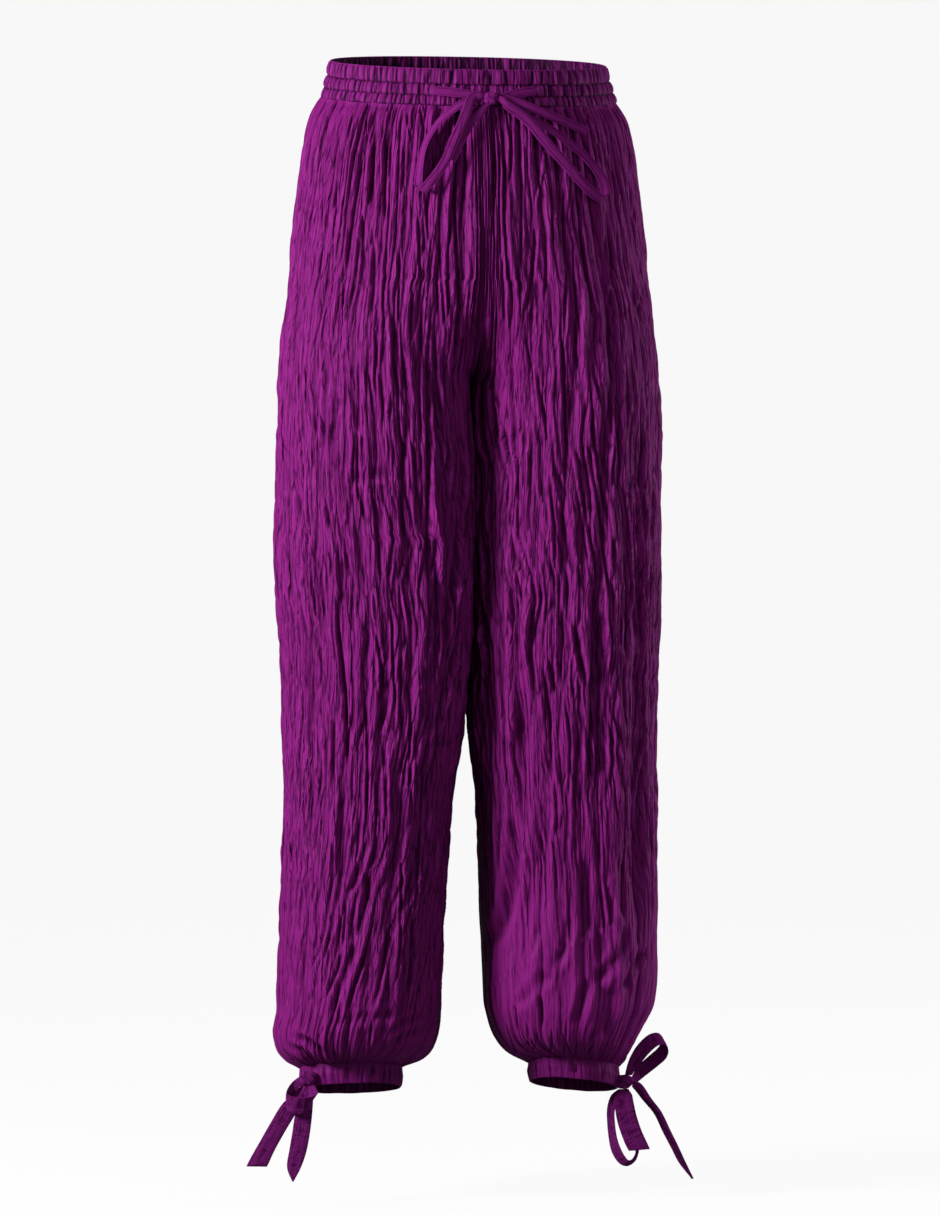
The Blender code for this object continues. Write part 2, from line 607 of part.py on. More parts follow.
def front_of(x, z):
    """The depth of the hips' front surface at x and z."""
    table = np.asarray(HIP_ROWS, float)
    place = np.interp(-z, -table[:, 0], np.arange(len(table)))
    row = through(table, [place], steady_slopes(table))[0]
    outer, front, back = row[1], row[3], row[4]
    across = (1.0 - abs(x / outer) ** OUTER_SQUARENESS) ** (1.0 / OUTER_SQUARENESS)
    return (front + back) / 2.0 - across * (back - front) / 2.0


def ribbon(name, rows, thick):
    """A flat ribbon along rows of x, y, z, width, lean and swing."""
    rows = np.asarray(rows, float)
    places = np.arange((len(rows) - 1) * RIBBON_STEPS + 1) / RIBBON_STEPS
    rows = through(rows, places, np.gradient(rows, axis=0))
    centre = rows[:, :3]
    lean, swing = np.radians(rows[:, 4]), np.radians(rows[:, 5])
    across = np.stack([np.cos(lean) * np.cos(swing), -np.sin(swing), np.sin(lean) * np.cos(swing)], axis=1)
    face = np.cross(np.gradient(centre, axis=0), across)
    face *= thick / 2.0 / np.linalg.norm(face, axis=1, keepdims=True)
    half = across * rows[:, 3:4] / 2.0
    edges = np.stack([centre - half, centre + half], axis=1)
    wall(name, edges + face[:, None], edges - face[:, None], material(name + "_cloth", TIE_COLOUR))


def knot(name, centre, radii):
    """A squared ball, for the wrap of ribbon that holds a bow."""
    points = []
    for row in range(1, KNOT_ROWS):
        rise = -math.pi / 2.0 + math.pi * row / KNOT_ROWS
        for column in range(KNOT_COLUMNS):
            turn = 2.0 * math.pi * column / KNOT_COLUMNS
            level = squared(math.cos(rise), KNOT_SQUARENESS)
            x = level * squared(math.cos(turn), KNOT_SQUARENESS)
            y = level * squared(math.sin(turn), KNOT_SQUARENESS)
            points.append((x, y, squared(math.sin(rise), KNOT_SQUARENESS)))
    points = [(0.0, 0.0, -1.0)] + points + [(0.0, 0.0, 1.0)]
    top = len(points) - 1
    faces = []
    for column in range(KNOT_COLUMNS):
        after = (column + 1) % KNOT_COLUMNS
        faces.append((0, 1 + after, 1 + column))
        for row in range(KNOT_ROWS - 2):
            low = 1 + row * KNOT_COLUMNS
            high = low + KNOT_COLUMNS
            faces.append((low + column, low + after, high + after, high + column))
        faces.append((high + column, high + after, top))
    placed = np.asarray(points) * np.asarray(radii) + np.asarray(centre)
    solid(name, placed, faces, material(name + "_cloth", TIE_COLOUR))


def drawstring():
    x, out, z = STRING_KNOT
    knot("drawstring_knot", (x, front_of(x, z) - out, z), STRING_KNOT_RADII)
    for name, rows in STRINGS.items():
        placed = [(row[0], front_of(row[0], row[2]) - row[1], *row[2:]) for row in rows]
        ribbon(name, placed, STRING_THICK)


def ankle_ties():
    for name, centre in TIE_KNOTS.items():
        knot(name, centre, TIE_KNOT_RADII)
    for name, rows in TIES.items():
        ribbon(name, rows, TIE_THICK)


def main():
    clear_scene()
    leg_panels()
    waistband()
    cuffs()
    drawstring()
    ankle_ties()


main()
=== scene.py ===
"""The looks of the crinkled balloon joggers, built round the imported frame.

The cloth repeats the frame's own rows at a finer step, and adds the crinkles, creases, gathers, stitches
and weave. Sizes are millimetres in the frame's axes (+Z up, the front faces -Y); METRE makes them metres.
"""

import math

import bmesh
import bpy
import numpy as np
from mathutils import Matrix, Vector


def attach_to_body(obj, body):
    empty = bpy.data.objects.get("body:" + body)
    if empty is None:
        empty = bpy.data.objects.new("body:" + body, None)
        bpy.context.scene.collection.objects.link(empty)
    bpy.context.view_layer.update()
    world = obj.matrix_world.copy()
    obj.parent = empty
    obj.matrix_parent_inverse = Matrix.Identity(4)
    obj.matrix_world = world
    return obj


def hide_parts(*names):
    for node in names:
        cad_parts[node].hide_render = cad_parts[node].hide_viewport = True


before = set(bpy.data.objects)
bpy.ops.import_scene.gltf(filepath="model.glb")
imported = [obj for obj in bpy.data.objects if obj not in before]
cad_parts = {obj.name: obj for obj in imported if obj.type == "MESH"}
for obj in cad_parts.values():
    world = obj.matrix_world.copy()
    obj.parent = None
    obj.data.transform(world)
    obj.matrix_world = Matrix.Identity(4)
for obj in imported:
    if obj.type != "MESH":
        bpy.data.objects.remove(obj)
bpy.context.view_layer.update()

METRE = 0.001
BODY = "root"

# The camera looks level, from this far in front, and stands this many degrees to the wearer's right
CAMERA_TURN = 8.0
CAMERA_DISTANCE = 4500.0
CAMERA_ASIDE = 1.5
CAMERA_Z = -525.5
VIEW_HEIGHT = 1215.0
SENSOR = 36.0

# Cloth, the gap at the frame's seams, and the least gap between the legs' crinkled cloth
BAND_WALL = 2.4
SEAM_GAP = 0.3
LEAST_GAP = 0.04
STRING_THICK = 1.2
TIE_THICK = 1.5

# Large folds of the frame, as in its own source
FOLD_DEPTH = 3.6
SEAM_FOLD_DEPTH = 0.9
HOOKS = (
    # z, front, back
    (-303, 0.25, 0.25),
    (-456, 0.215, 0.26),
    (-560, 0.20, 0.28),
)
CORE_LIMITS = (
    # z, front, back
    (-205, 224, 257.5),
    (-245, 231, 262),
    (-273, 236, 265),
    (-303, 239, 265.5),
    (-340, 241, 263),
    (-456, 250, 257),
    (-560, 400, 400),
)
LEAST_HOOK = 0.05
OUTSEAM_SHARE = 0.48
OUTER_SQUARENESS = 2.15
OUTLINE_POINTS = 1441
HIP_Z, KNEE_Z, CALF_Z = -180.0, -560.0, -860.0
WAIST_FADE = 70.0
HEM_FADE = 60.0
SHIFT_SHARE = 0.6
LEAN_SHARE = 0.5

# Steps of a leg panel's surface: rows down, columns across the panel, and columns in its crotch hook
PANEL_ROWS = 244
CORE_COLUMNS = 296
HOOK_COLUMNS = 44
CORE_WIDTH = 245.0
HOOK_WIDTH = 60.0
CORE_SHARES = np.linspace(0.0, 1.0, CORE_COLUMNS)
HOOK_SHARES = np.arange(1, HOOK_COLUMNS + 1) / HOOK_COLUMNS
# The length of a panel on the cloth's map, and the room that each panel has there
PANEL_LENGTH = 985.0
PANEL_ROOM = 400.0

HIP_ROWS = (
    # z, outer, inner, front, back, tilt, roll, squareness
    (-18.5, 149, -149, -101, 102, 34.5, 0, 2.7),
    (-36, 158.5, -158.5, -106, 108, 30, 0, 2.7),
    (-76, 168, -166, -113, 118, 22, 0, 2.7),
    (-116, 173.5, -166, -118, 126, 15, 0, 2.7),
    (-160, 178.5, -140, -121, 131, 8, 0, 2.7),
    (-205, 182, -90, -121, 131, 3, 0, 2.7),
    (-245, 186, -40, -119, 128, 0, 0, 2.7),
    (-273, 188.5, -15, -117, 123, 0, 0, 2.7),
    (-293, 190, -3.5, -115, 119, 0, 0, 2.7),
    (-303, 190.5, 0.6, -114, 118, 0, 0, 2.7),
)
RIGHT_LEG_ROWS = (
    # z, outer, inner, front, back, tilt, roll, squareness
    (-340, 191.5, 1.2, -112, 113, 0, 0, 2.8),
    (-456, 195.5, 0.8, -108, 107, 0, 0, 3.2),
    (-540, 191.5, 0.8, -105, 103, 0, 0, 3.2),
    (-620, 188.5, 7, -101, 100, 0, 0, 3.1),
    (-720, 187.5, 20, -98, 98, 0, 0, 2.8),
    (-820, 188.5, 27, -96, 97, 0, 0, 2.5),
    (-880, 191.5, 28, -96, 98, -2, 0, 2.35),
    (-920, 193, 29.5, -95, 97, -5, 0, 2.35),
    (-946, 196.5, 32, -90, 94, -9, 0, 2.35),
    (-963, 193, 37, -81, 86, -13, 0, 2.35),
    (-975, 184, 47, -68, 71, -16, 0, 2.35),
    (-984, 170, 67, -47, 45, -19, 0, 2.35),
)
LEFT_LEG_ROWS = (
    # z, outer, inner, front, back, tilt, roll, squareness
    (-340, 191.5, 1.2, -112, 113, 0, 0, 2.6),
    (-456, 195, 0.8, -108, 107, 0, 0, 2.45),
    (-540, 193, 0.8, -105, 103, 0, 0, 2.4),
    (-620, 190, 2, -101, 100, 0, 0, 2.35),
    (-720, 190, 9.5, -98, 98, 0, 0, 2.35),
    (-820, 191, 15, -97, 98, 0, 0, 2.35),
    (-880, 191, 16.5, -97, 98, -2, 0, 2.35),
    (-920, 187.5, 17, -96, 97, -5, -2, 2.35),
    (-941, 178, 21.5, -91, 93, -9, -4, 2.35),
    (-959, 168, 29, -81, 83, -13, -6, 2.35),
    (-972, 161, 40, -67, 69, -16, -8, 2.35),
    (-983.5, 152, 61, -46, 44, -19, -10, 2.35),
)
SIDES = {"right": (-1.0, HIP_ROWS + RIGHT_LEG_ROWS), "left": (1.0, HIP_ROWS + LEFT_LEG_ROWS)}

RIGHT_FRONT_FOLDS = (
    # shift, lean, hip, knee, calf
    (0.10, -0.2, 0.5, 0.6, 0.5),
    (-0.15, 0.1, 0.9, 0.7, 0.9),
    (0.20, 0.4, 0.7, 1.5, 1.2),
    (-0.10, 0.3, 0.8, 1, 0.6),
    (0.15, 0.6, 1.1, 0.7, 1.5),
    (0.00, 0.2, 1.5, 1.3, 0.9),
    (-0.20, 0.1, 1.2, 0.6, 0.8),
    (0.10, -0.3, 0.7, 1.4, 1.3),
    (0.20, -0.5, 1, 0.9, 1.1),
    (-0.15, -0.2, 0.8, 1.2, 0.7),
    (0.05, 0.1, 0.7, 0.7, 1),
)
LEFT_FRONT_FOLDS = (
    # shift, lean, hip, knee, calf
    (0.05, 0.2, 0.6, 0.8, 0.6),
    (0.20, -0.3, 1.3, 1.1, 0.8),
    (-0.10, -0.4, 0.7, 1.4, 1.5),
    (0.15, -0.2, 0.9, 0.6, 1),
    (-0.20, 0.1, 0.7, 1, 0.7),
    (0.10, 0.5, 1.4, 1.5, 1),
    (0.00, 0.3, 0.8, 0.8, 1.4),
    (-0.15, 0.4, 1.2, 1.2, 0.7),
    (0.20, 0.2, 0.9, 0.7, 1.2),
    (0.05, -0.1, 0.7, 1.3, 0.9),
    (-0.10, -0.3, 0.6, 0.8, 1),
)

# How strong each kind of crinkle is down the leg, in millimetres. pleats: long straight ridges. crush:
# short kinked ridges. fine: narrow crinkles. swell: broad soft unevenness. kink: how far ridges wander.
RIGHT_CRINKLES = (
    # z, pleats, crush, fine, swell, kink
    (-18, 2.3, 0.3, 0.4, 0, 1.5),
    (-60, 3.6, 0.7, 0.8, 0.8, 2.5),
    (-200, 3.2, 0.9, 0.8, 1.4, 3.5),
    (-300, 1.8, 1, 0.8, 2, 6),
    (-420, 1.3, 1.2, 0.95, 2.4, 7),
    (-620, 1.15, 1.2, 0.95, 2.6, 7),
    (-800, 1.3, 1.1, 0.9, 2.2, 6),
    (-900, 1.4, 0.8, 0.7, 1.6, 5),
    (-950, 1.8, 0.5, 0.4, 1, 3),
    (-985, 1.8, 0.3, 0.35, 0, 2),
)
LEFT_CRINKLES = (
    # z, pleats, crush, fine, swell, kink
    (-18, 2.4, 0.3, 0.4, 0, 1.5),
    (-60, 3.1, 0.6, 0.7, 0.8, 2.5),
    (-200, 2.3, 0.8, 0.55, 1.8, 4),
    (-300, 1.5, 0.95, 0.75, 2.4, 6),
    (-420, 1.2, 1.2, 0.9, 2.6, 7),
    (-620, 1.1, 1.15, 0.9, 3, 7),
    (-760, 1, 0.9, 0.7, 4, 7),
    (-840, 0.8, 0.6, 0.3, 5, 6),
    (-930, 0.9, 0.3, 0.2, 3.4, 4),
    (-985, 1.8, 0.3, 0.25, 0, 2),
)
CRINKLES = {"right": RIGHT_CRINKLES, "left": LEFT_CRINKLES}
PLEAT_PITCH = 10.5
PLEAT_LENGTH = 230.0
PLEAT_TILT = 1.3
PLEAT_NOTCH = 0.15
CRUSH_SIZES = (
    # pitch, length, tilt, depth
    (14, 105, 0.17, 0.8),
    (7.5, 50, 0.24, 0.6),
)
CRUSH_NOTCH = 0.10
FINE_PITCH = 4.0
FINE_LENGTH = 30.0
FINE_TILT = 0.35
FINE_NOTCH = 0.2
KINK_PITCH = 40.0
KINK_LENGTH = 60.0
SWELL_PITCH = 38.0
SWELL_LENGTH = 110.0
# The crush comes in patches of this size, from weak to strong
PATCH_PITCH = 26.0
PATCH_LENGTH = 80.0
PATCH_LEVEL = 0.9
PATCH_CONTRAST = 1.3
PATCH_LIMITS = (0.15, 1.5)
# How much more the facets are turned to the wearer's right than to the left, and how sharply they meet
FACET_TURN = 0.4
FACET_SHARPNESS = 13.0
# Each facet's middle stays this far inside its own square; then its slope along and its lift
FACET_MARGIN = 0.1
FACET_SLANT = 0.7
FACET_LIFT = 0.5
# The middle height of pleats whose ridges are near 1
PLEAT_LEVEL = 0.8
# Pleats wander sideways, in their own pitch, and their troughs are of uneven strength
PLEAT_WANDER = 0.8
SMALL_WANDER = 0.2
TROUGH_LEVEL = 0.75
TROUGH_CONTRAST = 0.9
TROUGH_LIMITS = (0.1, 1.3)

# How far the crinkles drift outwards on the way down, at the outseam, the middle and the inner edge
RIGHT_SWEEP = (
    # z, outer, middle, inner
    (-18, 0, 0, 0),
    (-320, 0, 0, 0),
    (-600, 0, 6, 10),
    (-770, 0, 14, 16),
    (-880, 6, 52, 40),
    (-985, 20, 80, 60),
)
LEFT_SWEEP = (
    # z, outer, middle, inner
    (-18, 0, 0, 0),
    (-250, 0, 0, 0),
    (-320, 0, 6, 4),
    (-520, 4, 40, 48),
    (-700, 4, 46, 60),
    (-985, 4, 46, 60),
)
SWEEPS = {"right": RIGHT_SWEEP, "left": LEFT_SWEEP}

BAND_ROWS = (
    # z, half_width, front, back, tilt
    (-18.2, 147.5, -100.5, 101.5, 34.5),
    (-13, 146, -100, 101, 35),
    (-7.6, 144, -99.2, 100.2, 35.5),
    (-1.8, 142.5, -98.8, 99.8, 36),
    (4, 140.5, -98.2, 99.2, 36.5),
    (11, 139.5, -97.6, 98.6, 36.5),
    (18.2, 138.5, -97, 98, 36),
)
CUFF_RINGS = (
    # below, wider
    (0.4, -0.2),
    (9.5, 0.8),
    (19.5, -1),
)

# A trough this much deeper than the cloth beside it has the full painted shade
CAVITY_DEPTH = 1.2
# The neighbourhood that a trough's depth is measured from
NEIGHBOURHOOD = (
    # axis of the grid, points to each side
    (1, 4),
    (0, 1),
)

# How far the relief is lifted at the inner seam, and how much deeper the inner side's folds are, below a
# height and over a fade
INSEAM_RISE = (
    # z, right, left
    (-303, 1.2, 1.2),
    (-420, 3.6, 3.6),
    (-620, 3.6, 3.6),
    (-690, 0.2, 2.4),
    (-985, 0.6, 1.6),
)
INNER_DEPTH = 0.4
INNER_TOP = -260.0
INNER_FADE = 150.0
# The share of the panel's width from which the folds are deeper, and over which they get so
DEEPER_FROM = 0.5
DEEPER_OVER = 0.25
# Less so again on the lower leg, near the inner seam
INNER_LOW = -600.0
INNER_CALM = 0.4
CALMER_FROM = 0.7
CALMER_OVER = 0.15

# Narrow creases are made finer than their table says, and every crease has soft rolls along its sides
NARROW_CREASE = 5.0
NARROW_WIDTH = 0.78
NARROW_DEPTH = 0.88
SOFT_CREASE = 4.0
SOFT_FADE = 3.0
CREASE_STEPS = 14
CREASE_POWER = 1.4
CREASE_REACH = 2.5
CREASE_ROLL = 0.28
ROLL_PLACE = 1.1
ROLL_NARROWNESS = 6.0
# How fast a crease deepens from its top, and from its low end
TOP_DEEPENING = 5.0
LOW_DEEPENING = 4.0
# Cloth that turns away from the front is taken to face it at least this much
LEAST_FACING = 0.3
# How much a crease leans makes one of its sides wider and the other narrower
LEAN_WIDTH = 0.6
# The share of the frame's large folds that the finer cloth keeps
FOLD_SHARE = 0.85
# How near a seam the relief is held flat, and how far the cloth turns in at it, by the outseam and the inseam
SEAM_HOLD = 7.0
TOP_HOLD = 4.0
SEAM_TURN = 2.2
OUTSEAM_DIP = 1.0
INSEAM_DIP = 0.2
TOP_DIP = 0.3
HEM_DIP = 0.5

# The band's section, up its outer side, over the top edge, down its inner side and back under
BAND_STITCH_LINES = (-18.2, -7.6, 4.0, 18.2)
BAND_OUT = 0.1
BAND_PUFF = 1.7
BAND_INNER_PUFF = 0.7
# The smaller, the fuller the cloth stands between two lines of stitching
OUTER_FULLNESS = 0.45
INNER_FULLNESS = 0.55
# The share of the gathers' height at a line of stitching, and how much more of it halfway between two
OUTER_SHARES = (0.40, 0.60)
INNER_SHARES = (0.25, 0.55)
# The same share on the band's top edge, and that edge's height in half walls
EDGE_SHARE = 0.30
EDGE_HEIGHT = 0.8
BAND_OUTER_ROWS = 42
BAND_TURN_ROWS = 5
BAND_INNER_ROWS = 26
BAND_COLUMNS = 860
BAND_GATHERS = (
    # pitch, height
    (5.9, 2.4),
    (3.7, 0.8),
)
GATHER_TILT = 0.7
GATHER_NOTCH = 0.19
# How far down a gather keeps its place, and over what length the gathers join up at the back
GATHER_LENGTH = 95.0
JOIN = 30.0
# How far the band's gathers slant, each channel in its own way, and how far apart the channels' patterns lie
GATHER_SLANT = 0.1
SLANT_PITCH = 60.0
CHANNEL_SHIFT = 90.0
# Seeds of the outer and the inner side
BAND_SEEDS = (700, 750)
# Where the middle of the gathers' height is, as a share of it
BAND_LEVEL = 0.72
CUFF_LEVEL = 0.7
# How much painted shade lies in the band's grooves and along its lines of stitching, and how much painted
# highlight on its top edge
BAND_CAVITY = 1.5
CUFF_DARKEST = 0.7
STITCH_SHADE = 0.9
STITCH_SHADE_WIDTH = 0.9
EDGE_PAINTED_HIGHLIGHT = 0.9
# The inner side of the band and the cuffs has painted shade, darker than the outer
INSIDE_PAINTED_SHADE = 0.68
# Painted shade on the legs' inner sides, where they nearly touch, from this height down, over a fade
INNER_PAINTED_SHADE = 0.6
INNER_PAINTED_SHADE_TOP = -300.0
INNER_PAINTED_SHADE_FADE = 60.0
# The strength of fine crinkles at which the finest facets show in full
FULLY_CRISP = 0.8
PANEL_SEED = 100
CUFF_ROWS = 22
CUFF_INNER_ROWS = 16
CUFF_COLUMNS = 280
CUFF_GATHERS = (
    # pitch, height
    (4.8, 1.7),
    (3, 0.5),
)
CUFF_LENGTH = 250.0
CUFF_ALLOWANCE = 2.6
CUFF_SEEDS = {"right": 850, "left": 800}
# How far in the turned-in top lies, in walls, and the share of the gathers' height that it has
CUFF_TOP_INSETS = (0.8, 1.1)
CUFF_TOP_SHARE = 0.2
# How far the hem rolls below the last ring, and the shares of the gathers' height there and inside
CUFF_ROLL = 0.9
CUFF_ROLL_SHARE = 0.5
CUFF_INNER_SHARE = 0.8
# How far the cuff's cloth swells, and how far its edge waves
CUFF_SWELL = 0.8
CUFF_WAVE = 0.7
# The cloth turned in at a leg panel's seams: how deep, how far past the seam, and how far up in the band
SEAM_ALLOWANCE = 2.6
SEAM_LAP = 0.5
TOP_INSET = 1.3
TOP_LAP = 1.6

# Stitches
EDGE_STITCH_SHARE = 0.62
STITCH_PITCH = 3.0
STITCH_LENGTH = 2.2
STITCH_WIDTH = 0.42
STITCH_HEIGHT = 0.3
# A stitch's section as shares across and up, and its thickness along it, as shares along and of the whole
STITCH_SECTION = ((-1.0, -0.6), (-0.75, 0.55), (0.0, 1.0), (0.75, 0.55), (1.0, -0.6))
STITCH_STATIONS = ((-1.0, 0.25), (-0.7, 0.85), (0.0, 1.0), (0.7, 0.85), (1.0, 0.25))
# How far the band's stitches stand out of its outer and its inner cloth, and the drawstring's sink in
OUTER_LIFT = 0.25
INNER_LIFT = 0.15
STITCH_SINK = 0.1
# A stitch's direction is taken over this much of its line to each side
STITCH_STEP = 0.3

# Ribbons, as in the frame's source
STRING_KNOT = (6.5, 7.0, -28.4)
STRING_KNOT_RADII = (7.0, 5.4, 6.3)
STRINGS = {
    # x, out, z, width, lean, swing
    "drawstring_right_run": (
        (-48.5, 2.6, -20.6, 9, 86, 0),
        (-31, 3, -22.3, 9.5, 85, 0),
        (-14, 3, -24.4, 8.5, 83, 0),
        (-0.5, 3.9, -27.4, 6, 89, 0),
    ),
    "drawstring_left_run": (
        (52.5, 2.6, -18.9, 9, 96, 0),
        (36.5, 3, -22.1, 9.5, 101, 0),
        (24, 3, -25.2, 8.5, 104, 0),
        (13.5, 3.4, -27.6, 6, 91, 0),
    ),
    "drawstring_right_loop": (
        (-1.2, 10.4, -26.5, 6, -95, 0),
        (-8.5, 11.4, -26, 9, -80, 0),
        (-14.5, 11.4, -31.5, 10, -50, 0),
        (-18.3, 11, -42, 10, -27, 0),
        (-24.4, 11, -57, 10, -24, 0),
        (-31.5, 10, -72, 10, -26, 0),
        (-38, 9, -88, 9.5, -29, 0),
        (-46.6, 8.5, -102, 9.5, -35, 0),
        (-57, 8, -115, 9.5, -40, 0),
        (-62.5, 6.2, -120, 9.5, -36, 0),
        (-65.3, 4.4, -116, 9.5, -22, 10),
        (-65, 4.4, -107, 9.5, -6, 40),
        (-62, 4.4, -86.5, 9.5, -12, 55),
        (-57, 4.4, -71, 9.5, -28, 56),
        (-48, 4.4, -56.5, 9.5, -40, 54),
        (-37.4, 4.6, -45.5, 9, -47, 40),
        (-22.6, 6.2, -34.5, 8, -54, 16),
        (-10, 7.5, -30.6, 7, -72, 0),
        (-1.2, 7.6, -29.2, 6, -80, 0),
    ),
    "drawstring_left_loop": (
        (14.6, 10, -29, 6, 80, 0),
        (22, 10.4, -36, 9, 56, 0),
        (34, 9.6, -43.6, 9.5, 50, 0),
        (46, 9.2, -54, 10, 42, 0),
        (58.4, 8.8, -68.6, 10, 40, 0),
        (70.5, 8.4, -82, 10, 41, 0),
        (83, 8.4, -94.6, 10, 43, 0),
        (95.7, 8.6, -108, 10, 43, 0),
        (107, 8.6, -117.8, 10, 47, 0),
        (116.5, 8, -123, 10, 52, 0),
        (121.5, 6, -123, 10, 48, 0),
        (123, 4.4, -117, 10, 38, 0),
        (120.5, 3.8, -105, 10, 30, 0),
        (112, 3.4, -92.5, 9, 38, 0),
        (100.6, 3.4, -81, 8, 48, 8),
        (89.4, 3.4, -73, 8, 53, 12),
        (76.7, 3.4, -64.2, 7.5, 55, 12),
        (66, 3.4, -57, 7.5, 57, 8),
        (53.5, 3.6, -50.6, 7.5, 59, 0),
        (35.6, 4.4, -41, 7.5, 60, 0),
        (22.5, 5.1, -34, 6.5, 62, 0),
        (14.6, 5.3, -29.2, 5.5, 82, 0),
    ),
    "drawstring_left_tail": (
        (14.6, 7.9, -27, 6, 82, 0),
        (24, 8.1, -30, 8, 72, 0),
        (38, 8.1, -34.2, 8.5, 70, 5),
        (53.4, 7.2, -39.5, 8.5, 70, 8),
        (69, 6, -45, 9, 70, 10),
        (85, 4.2, -50.4, 9, 70, 10),
        (98, 3.4, -55.2, 9, 66, 5),
        (105, 3.2, -58.4, 9.5, 50, 0),
    ),
    "drawstring_right_tail": (
        (2.5, 5.2, -35.6, 6, -10, 0),
        (-3.5, 5.8, -42, 8, -32, 0),
        (-12.5, 6.8, -51, 9, -30, 0),
        (-20, 7.4, -63, 9, -26, 0),
        (-27, 7, -77, 9, -26, 0),
        (-33, 6.4, -90, 9, -40, 0),
    ),
}
TIE_KNOTS = {"right_tie_knot": (-165.0, -36.5, -990.0), "left_tie_knot": (153.6, -22.5, -999.5)}
TIE_KNOT_RADII = (8.2, 5.6, 7.0)
TIES = {
    # x, y, z, width, lean, swing
    "right_tie_loop": (
        (-172.2, -36.3, -991.5, 7, 100, 0),
        (-176.5, -33.8, -997.5, 13, 98, 10),
        (-181.5, -32.8, -1003.5, 17, 95, 20),
        (-185.8, -35.3, -1009.5, 19, 92, 28),
        (-186.5, -40.3, -1013, 20, 92, 28),
        (-181.5, -45.3, -1015.5, 21, 92, 28),
        (-173, -47.8, -1016.5, 21, 90, 28),
        (-164.5, -46.8, -1014, 18, 72, 28),
        (-160.8, -43.8, -1006, 12, 30, 25),
        (-162, -39.5, -996.9, 7, 0, 10),
    ),
    "right_tie_tail_a": (
        (-167.3, -33.7, -996.8, 6.5, 0, 0),
        (-171, -28.8, -1004, 10, -15, 0),
        (-176, -22.8, -1013, 14, -25, 0),
        (-183, -19.3, -1023, 17, -28, 0),
        (-194.5, -17.3, -1042.5, 17, -29, 0),
        (-205.5, -15.8, -1062.5, 17.5, -26, 0),
        (-214, -15.3, -1079, 20.5, -2, 0),
    ),
    "right_tie_tail_b": (
        (-165.5, -35.9, -996.9, 8, 0, 0),
        (-167, -36.8, -1008, 14, -4, 0),
        (-169.5, -36.8, -1026, 17, -6, 0),
        (-172, -35.8, -1045, 17.5, -7, 0),
        (-175, -34.8, -1062, 17, -12, 0),
        (-179, -34.3, -1078.5, 13.5, -8, 0),
        (-179.8, -34.3, -1092, 1.6, 0, 0),
    ),
    "left_tie_upper_loop": (
        (158, -24, -992.9, 7, 178, -8),
        (161.5, -24.5, -984.5, 10, 165, -14),
        (166.5, -23, -976.5, 13, 150, -22),
        (174, -19.5, -967.5, 15, 134, -30),
        (184.5, -15, -959.5, 16, 124, -37),
        (194, -9.5, -958.5, 16, 112, -42),
        (199, -5, -965, 16, 112, -45),
        (196.5, -1, -973.5, 16, 120, -42),
        (187.5, 1, -982, 15.5, 126, -40),
        (175.5, -2, -991, 13.5, 122, -32),
        (167, -10, -997.5, 10, 104, -12),
        (162, -18.5, -1000, 7, 92, 8),
    ),
    "left_tie_lower_loop": (
        (150.5, -22.2, -1007.3, 5.5, 0, 10),
        (145.5, -16, -1015, 10, 0, 45),
        (142.7, -10, -1029, 14, 0, 66),
        (143.7, -6, -1044, 16, 0, 70),
        (145.7, -5, -1058, 16.5, 5, 68),
        (149, -5, -1070, 17, 25, 62),
        (154.5, -5, -1079.5, 17, 55, 60),
        (160.5, -5.5, -1083.3, 17, 90, 63),
        (166.5, -6.5, -1080, 17, 130, 66),
        (169.8, -8, -1071, 16, 170, 68),
        (168, -10, -1056, 15, 195, 68),
        (162.5, -13.5, -1038, 13, 200, 60),
        (158, -17, -1020, 9, 190, 45),
        (156.5, -19.6, -1007.3, 6, 180, 15),
    ),
    "left_tie_tail_a": (
        (154, -24.6, -1007, 8, 0, 0),
        (152.5, -28, -1013, 17, 8, 0),
        (153, -29, -1022, 19.5, 14, 0),
        (156, -29, -1037, 20.5, 20, 0),
        (162, -28.5, -1054, 20.5, 22, 0),
        (168.5, -28, -1067.5, 21.5, 4, 0),
    ),
    "left_tie_tail_b": (
        (162, -26, -1001.5, 6, 78, 0),
        (168.5, -23, -1005.5, 11, 54, 36),
        (178.5, -18, -1018.5, 14, 42, 60),
        (190, -13, -1032.6, 15, 36, 66),
        (199.5, -9, -1051, 16, 28, 68),
        (209, -5, -1068.6, 16, 28, 70),
        (217, -2, -1084, 15, 28, 72),
        (228, 1, -1100.6, 5, 28, 74),
    ),
}
# Each string in one length: the band's middle row, the knot, a loop, the knot again, and a free end
STRING_ROUTES = {
    "drawstring_right_string": ("drawstring_right_run", "drawstring_left_loop", "drawstring_right_tail"),
    "drawstring_left_string": ("drawstring_left_run", "drawstring_right_loop", "drawstring_left_tail"),
}
RIBBON_STEP = 1.2
RIBBON_COLUMNS = 13
# Fine steps for each row of a ribbon's table, before it is cut into even steps
RIBBON_DETAIL = 40
# How much a ribbon's relief is strengthened where it only sets its painted shade and painted highlight
STRING_CONTRAST = 4.5
TIE_CONTRAST = 1.5
# The relief of strings and ties in millimetres, and where on their half width the stitched edge lies
STRING_RIPPLE = 0.14
STITCH_DIP = 0.28
STITCH_DIP_WIDTH = 0.10
TIE_PUCKER = 0.95
TIE_SWELL = 0.35
TIE_EDGE_SHARE = 0.86
TIE_EDGE_DIP = 0.45
EDGE_DIP_WIDTH = 0.09
TIE_PITCH = 3.6
# The relief of knots, in shares of their radii
KNOT_CREASE = 0.10
KNOT_UNEVEN = 0.05
KNOT_EDGE_SHARE = 0.72
KNOT_EDGE_DIP = 0.07
KNOT_SQUARENESS = 3.0
KNOT_COLUMNS = 56
KNOT_ROWS = 32

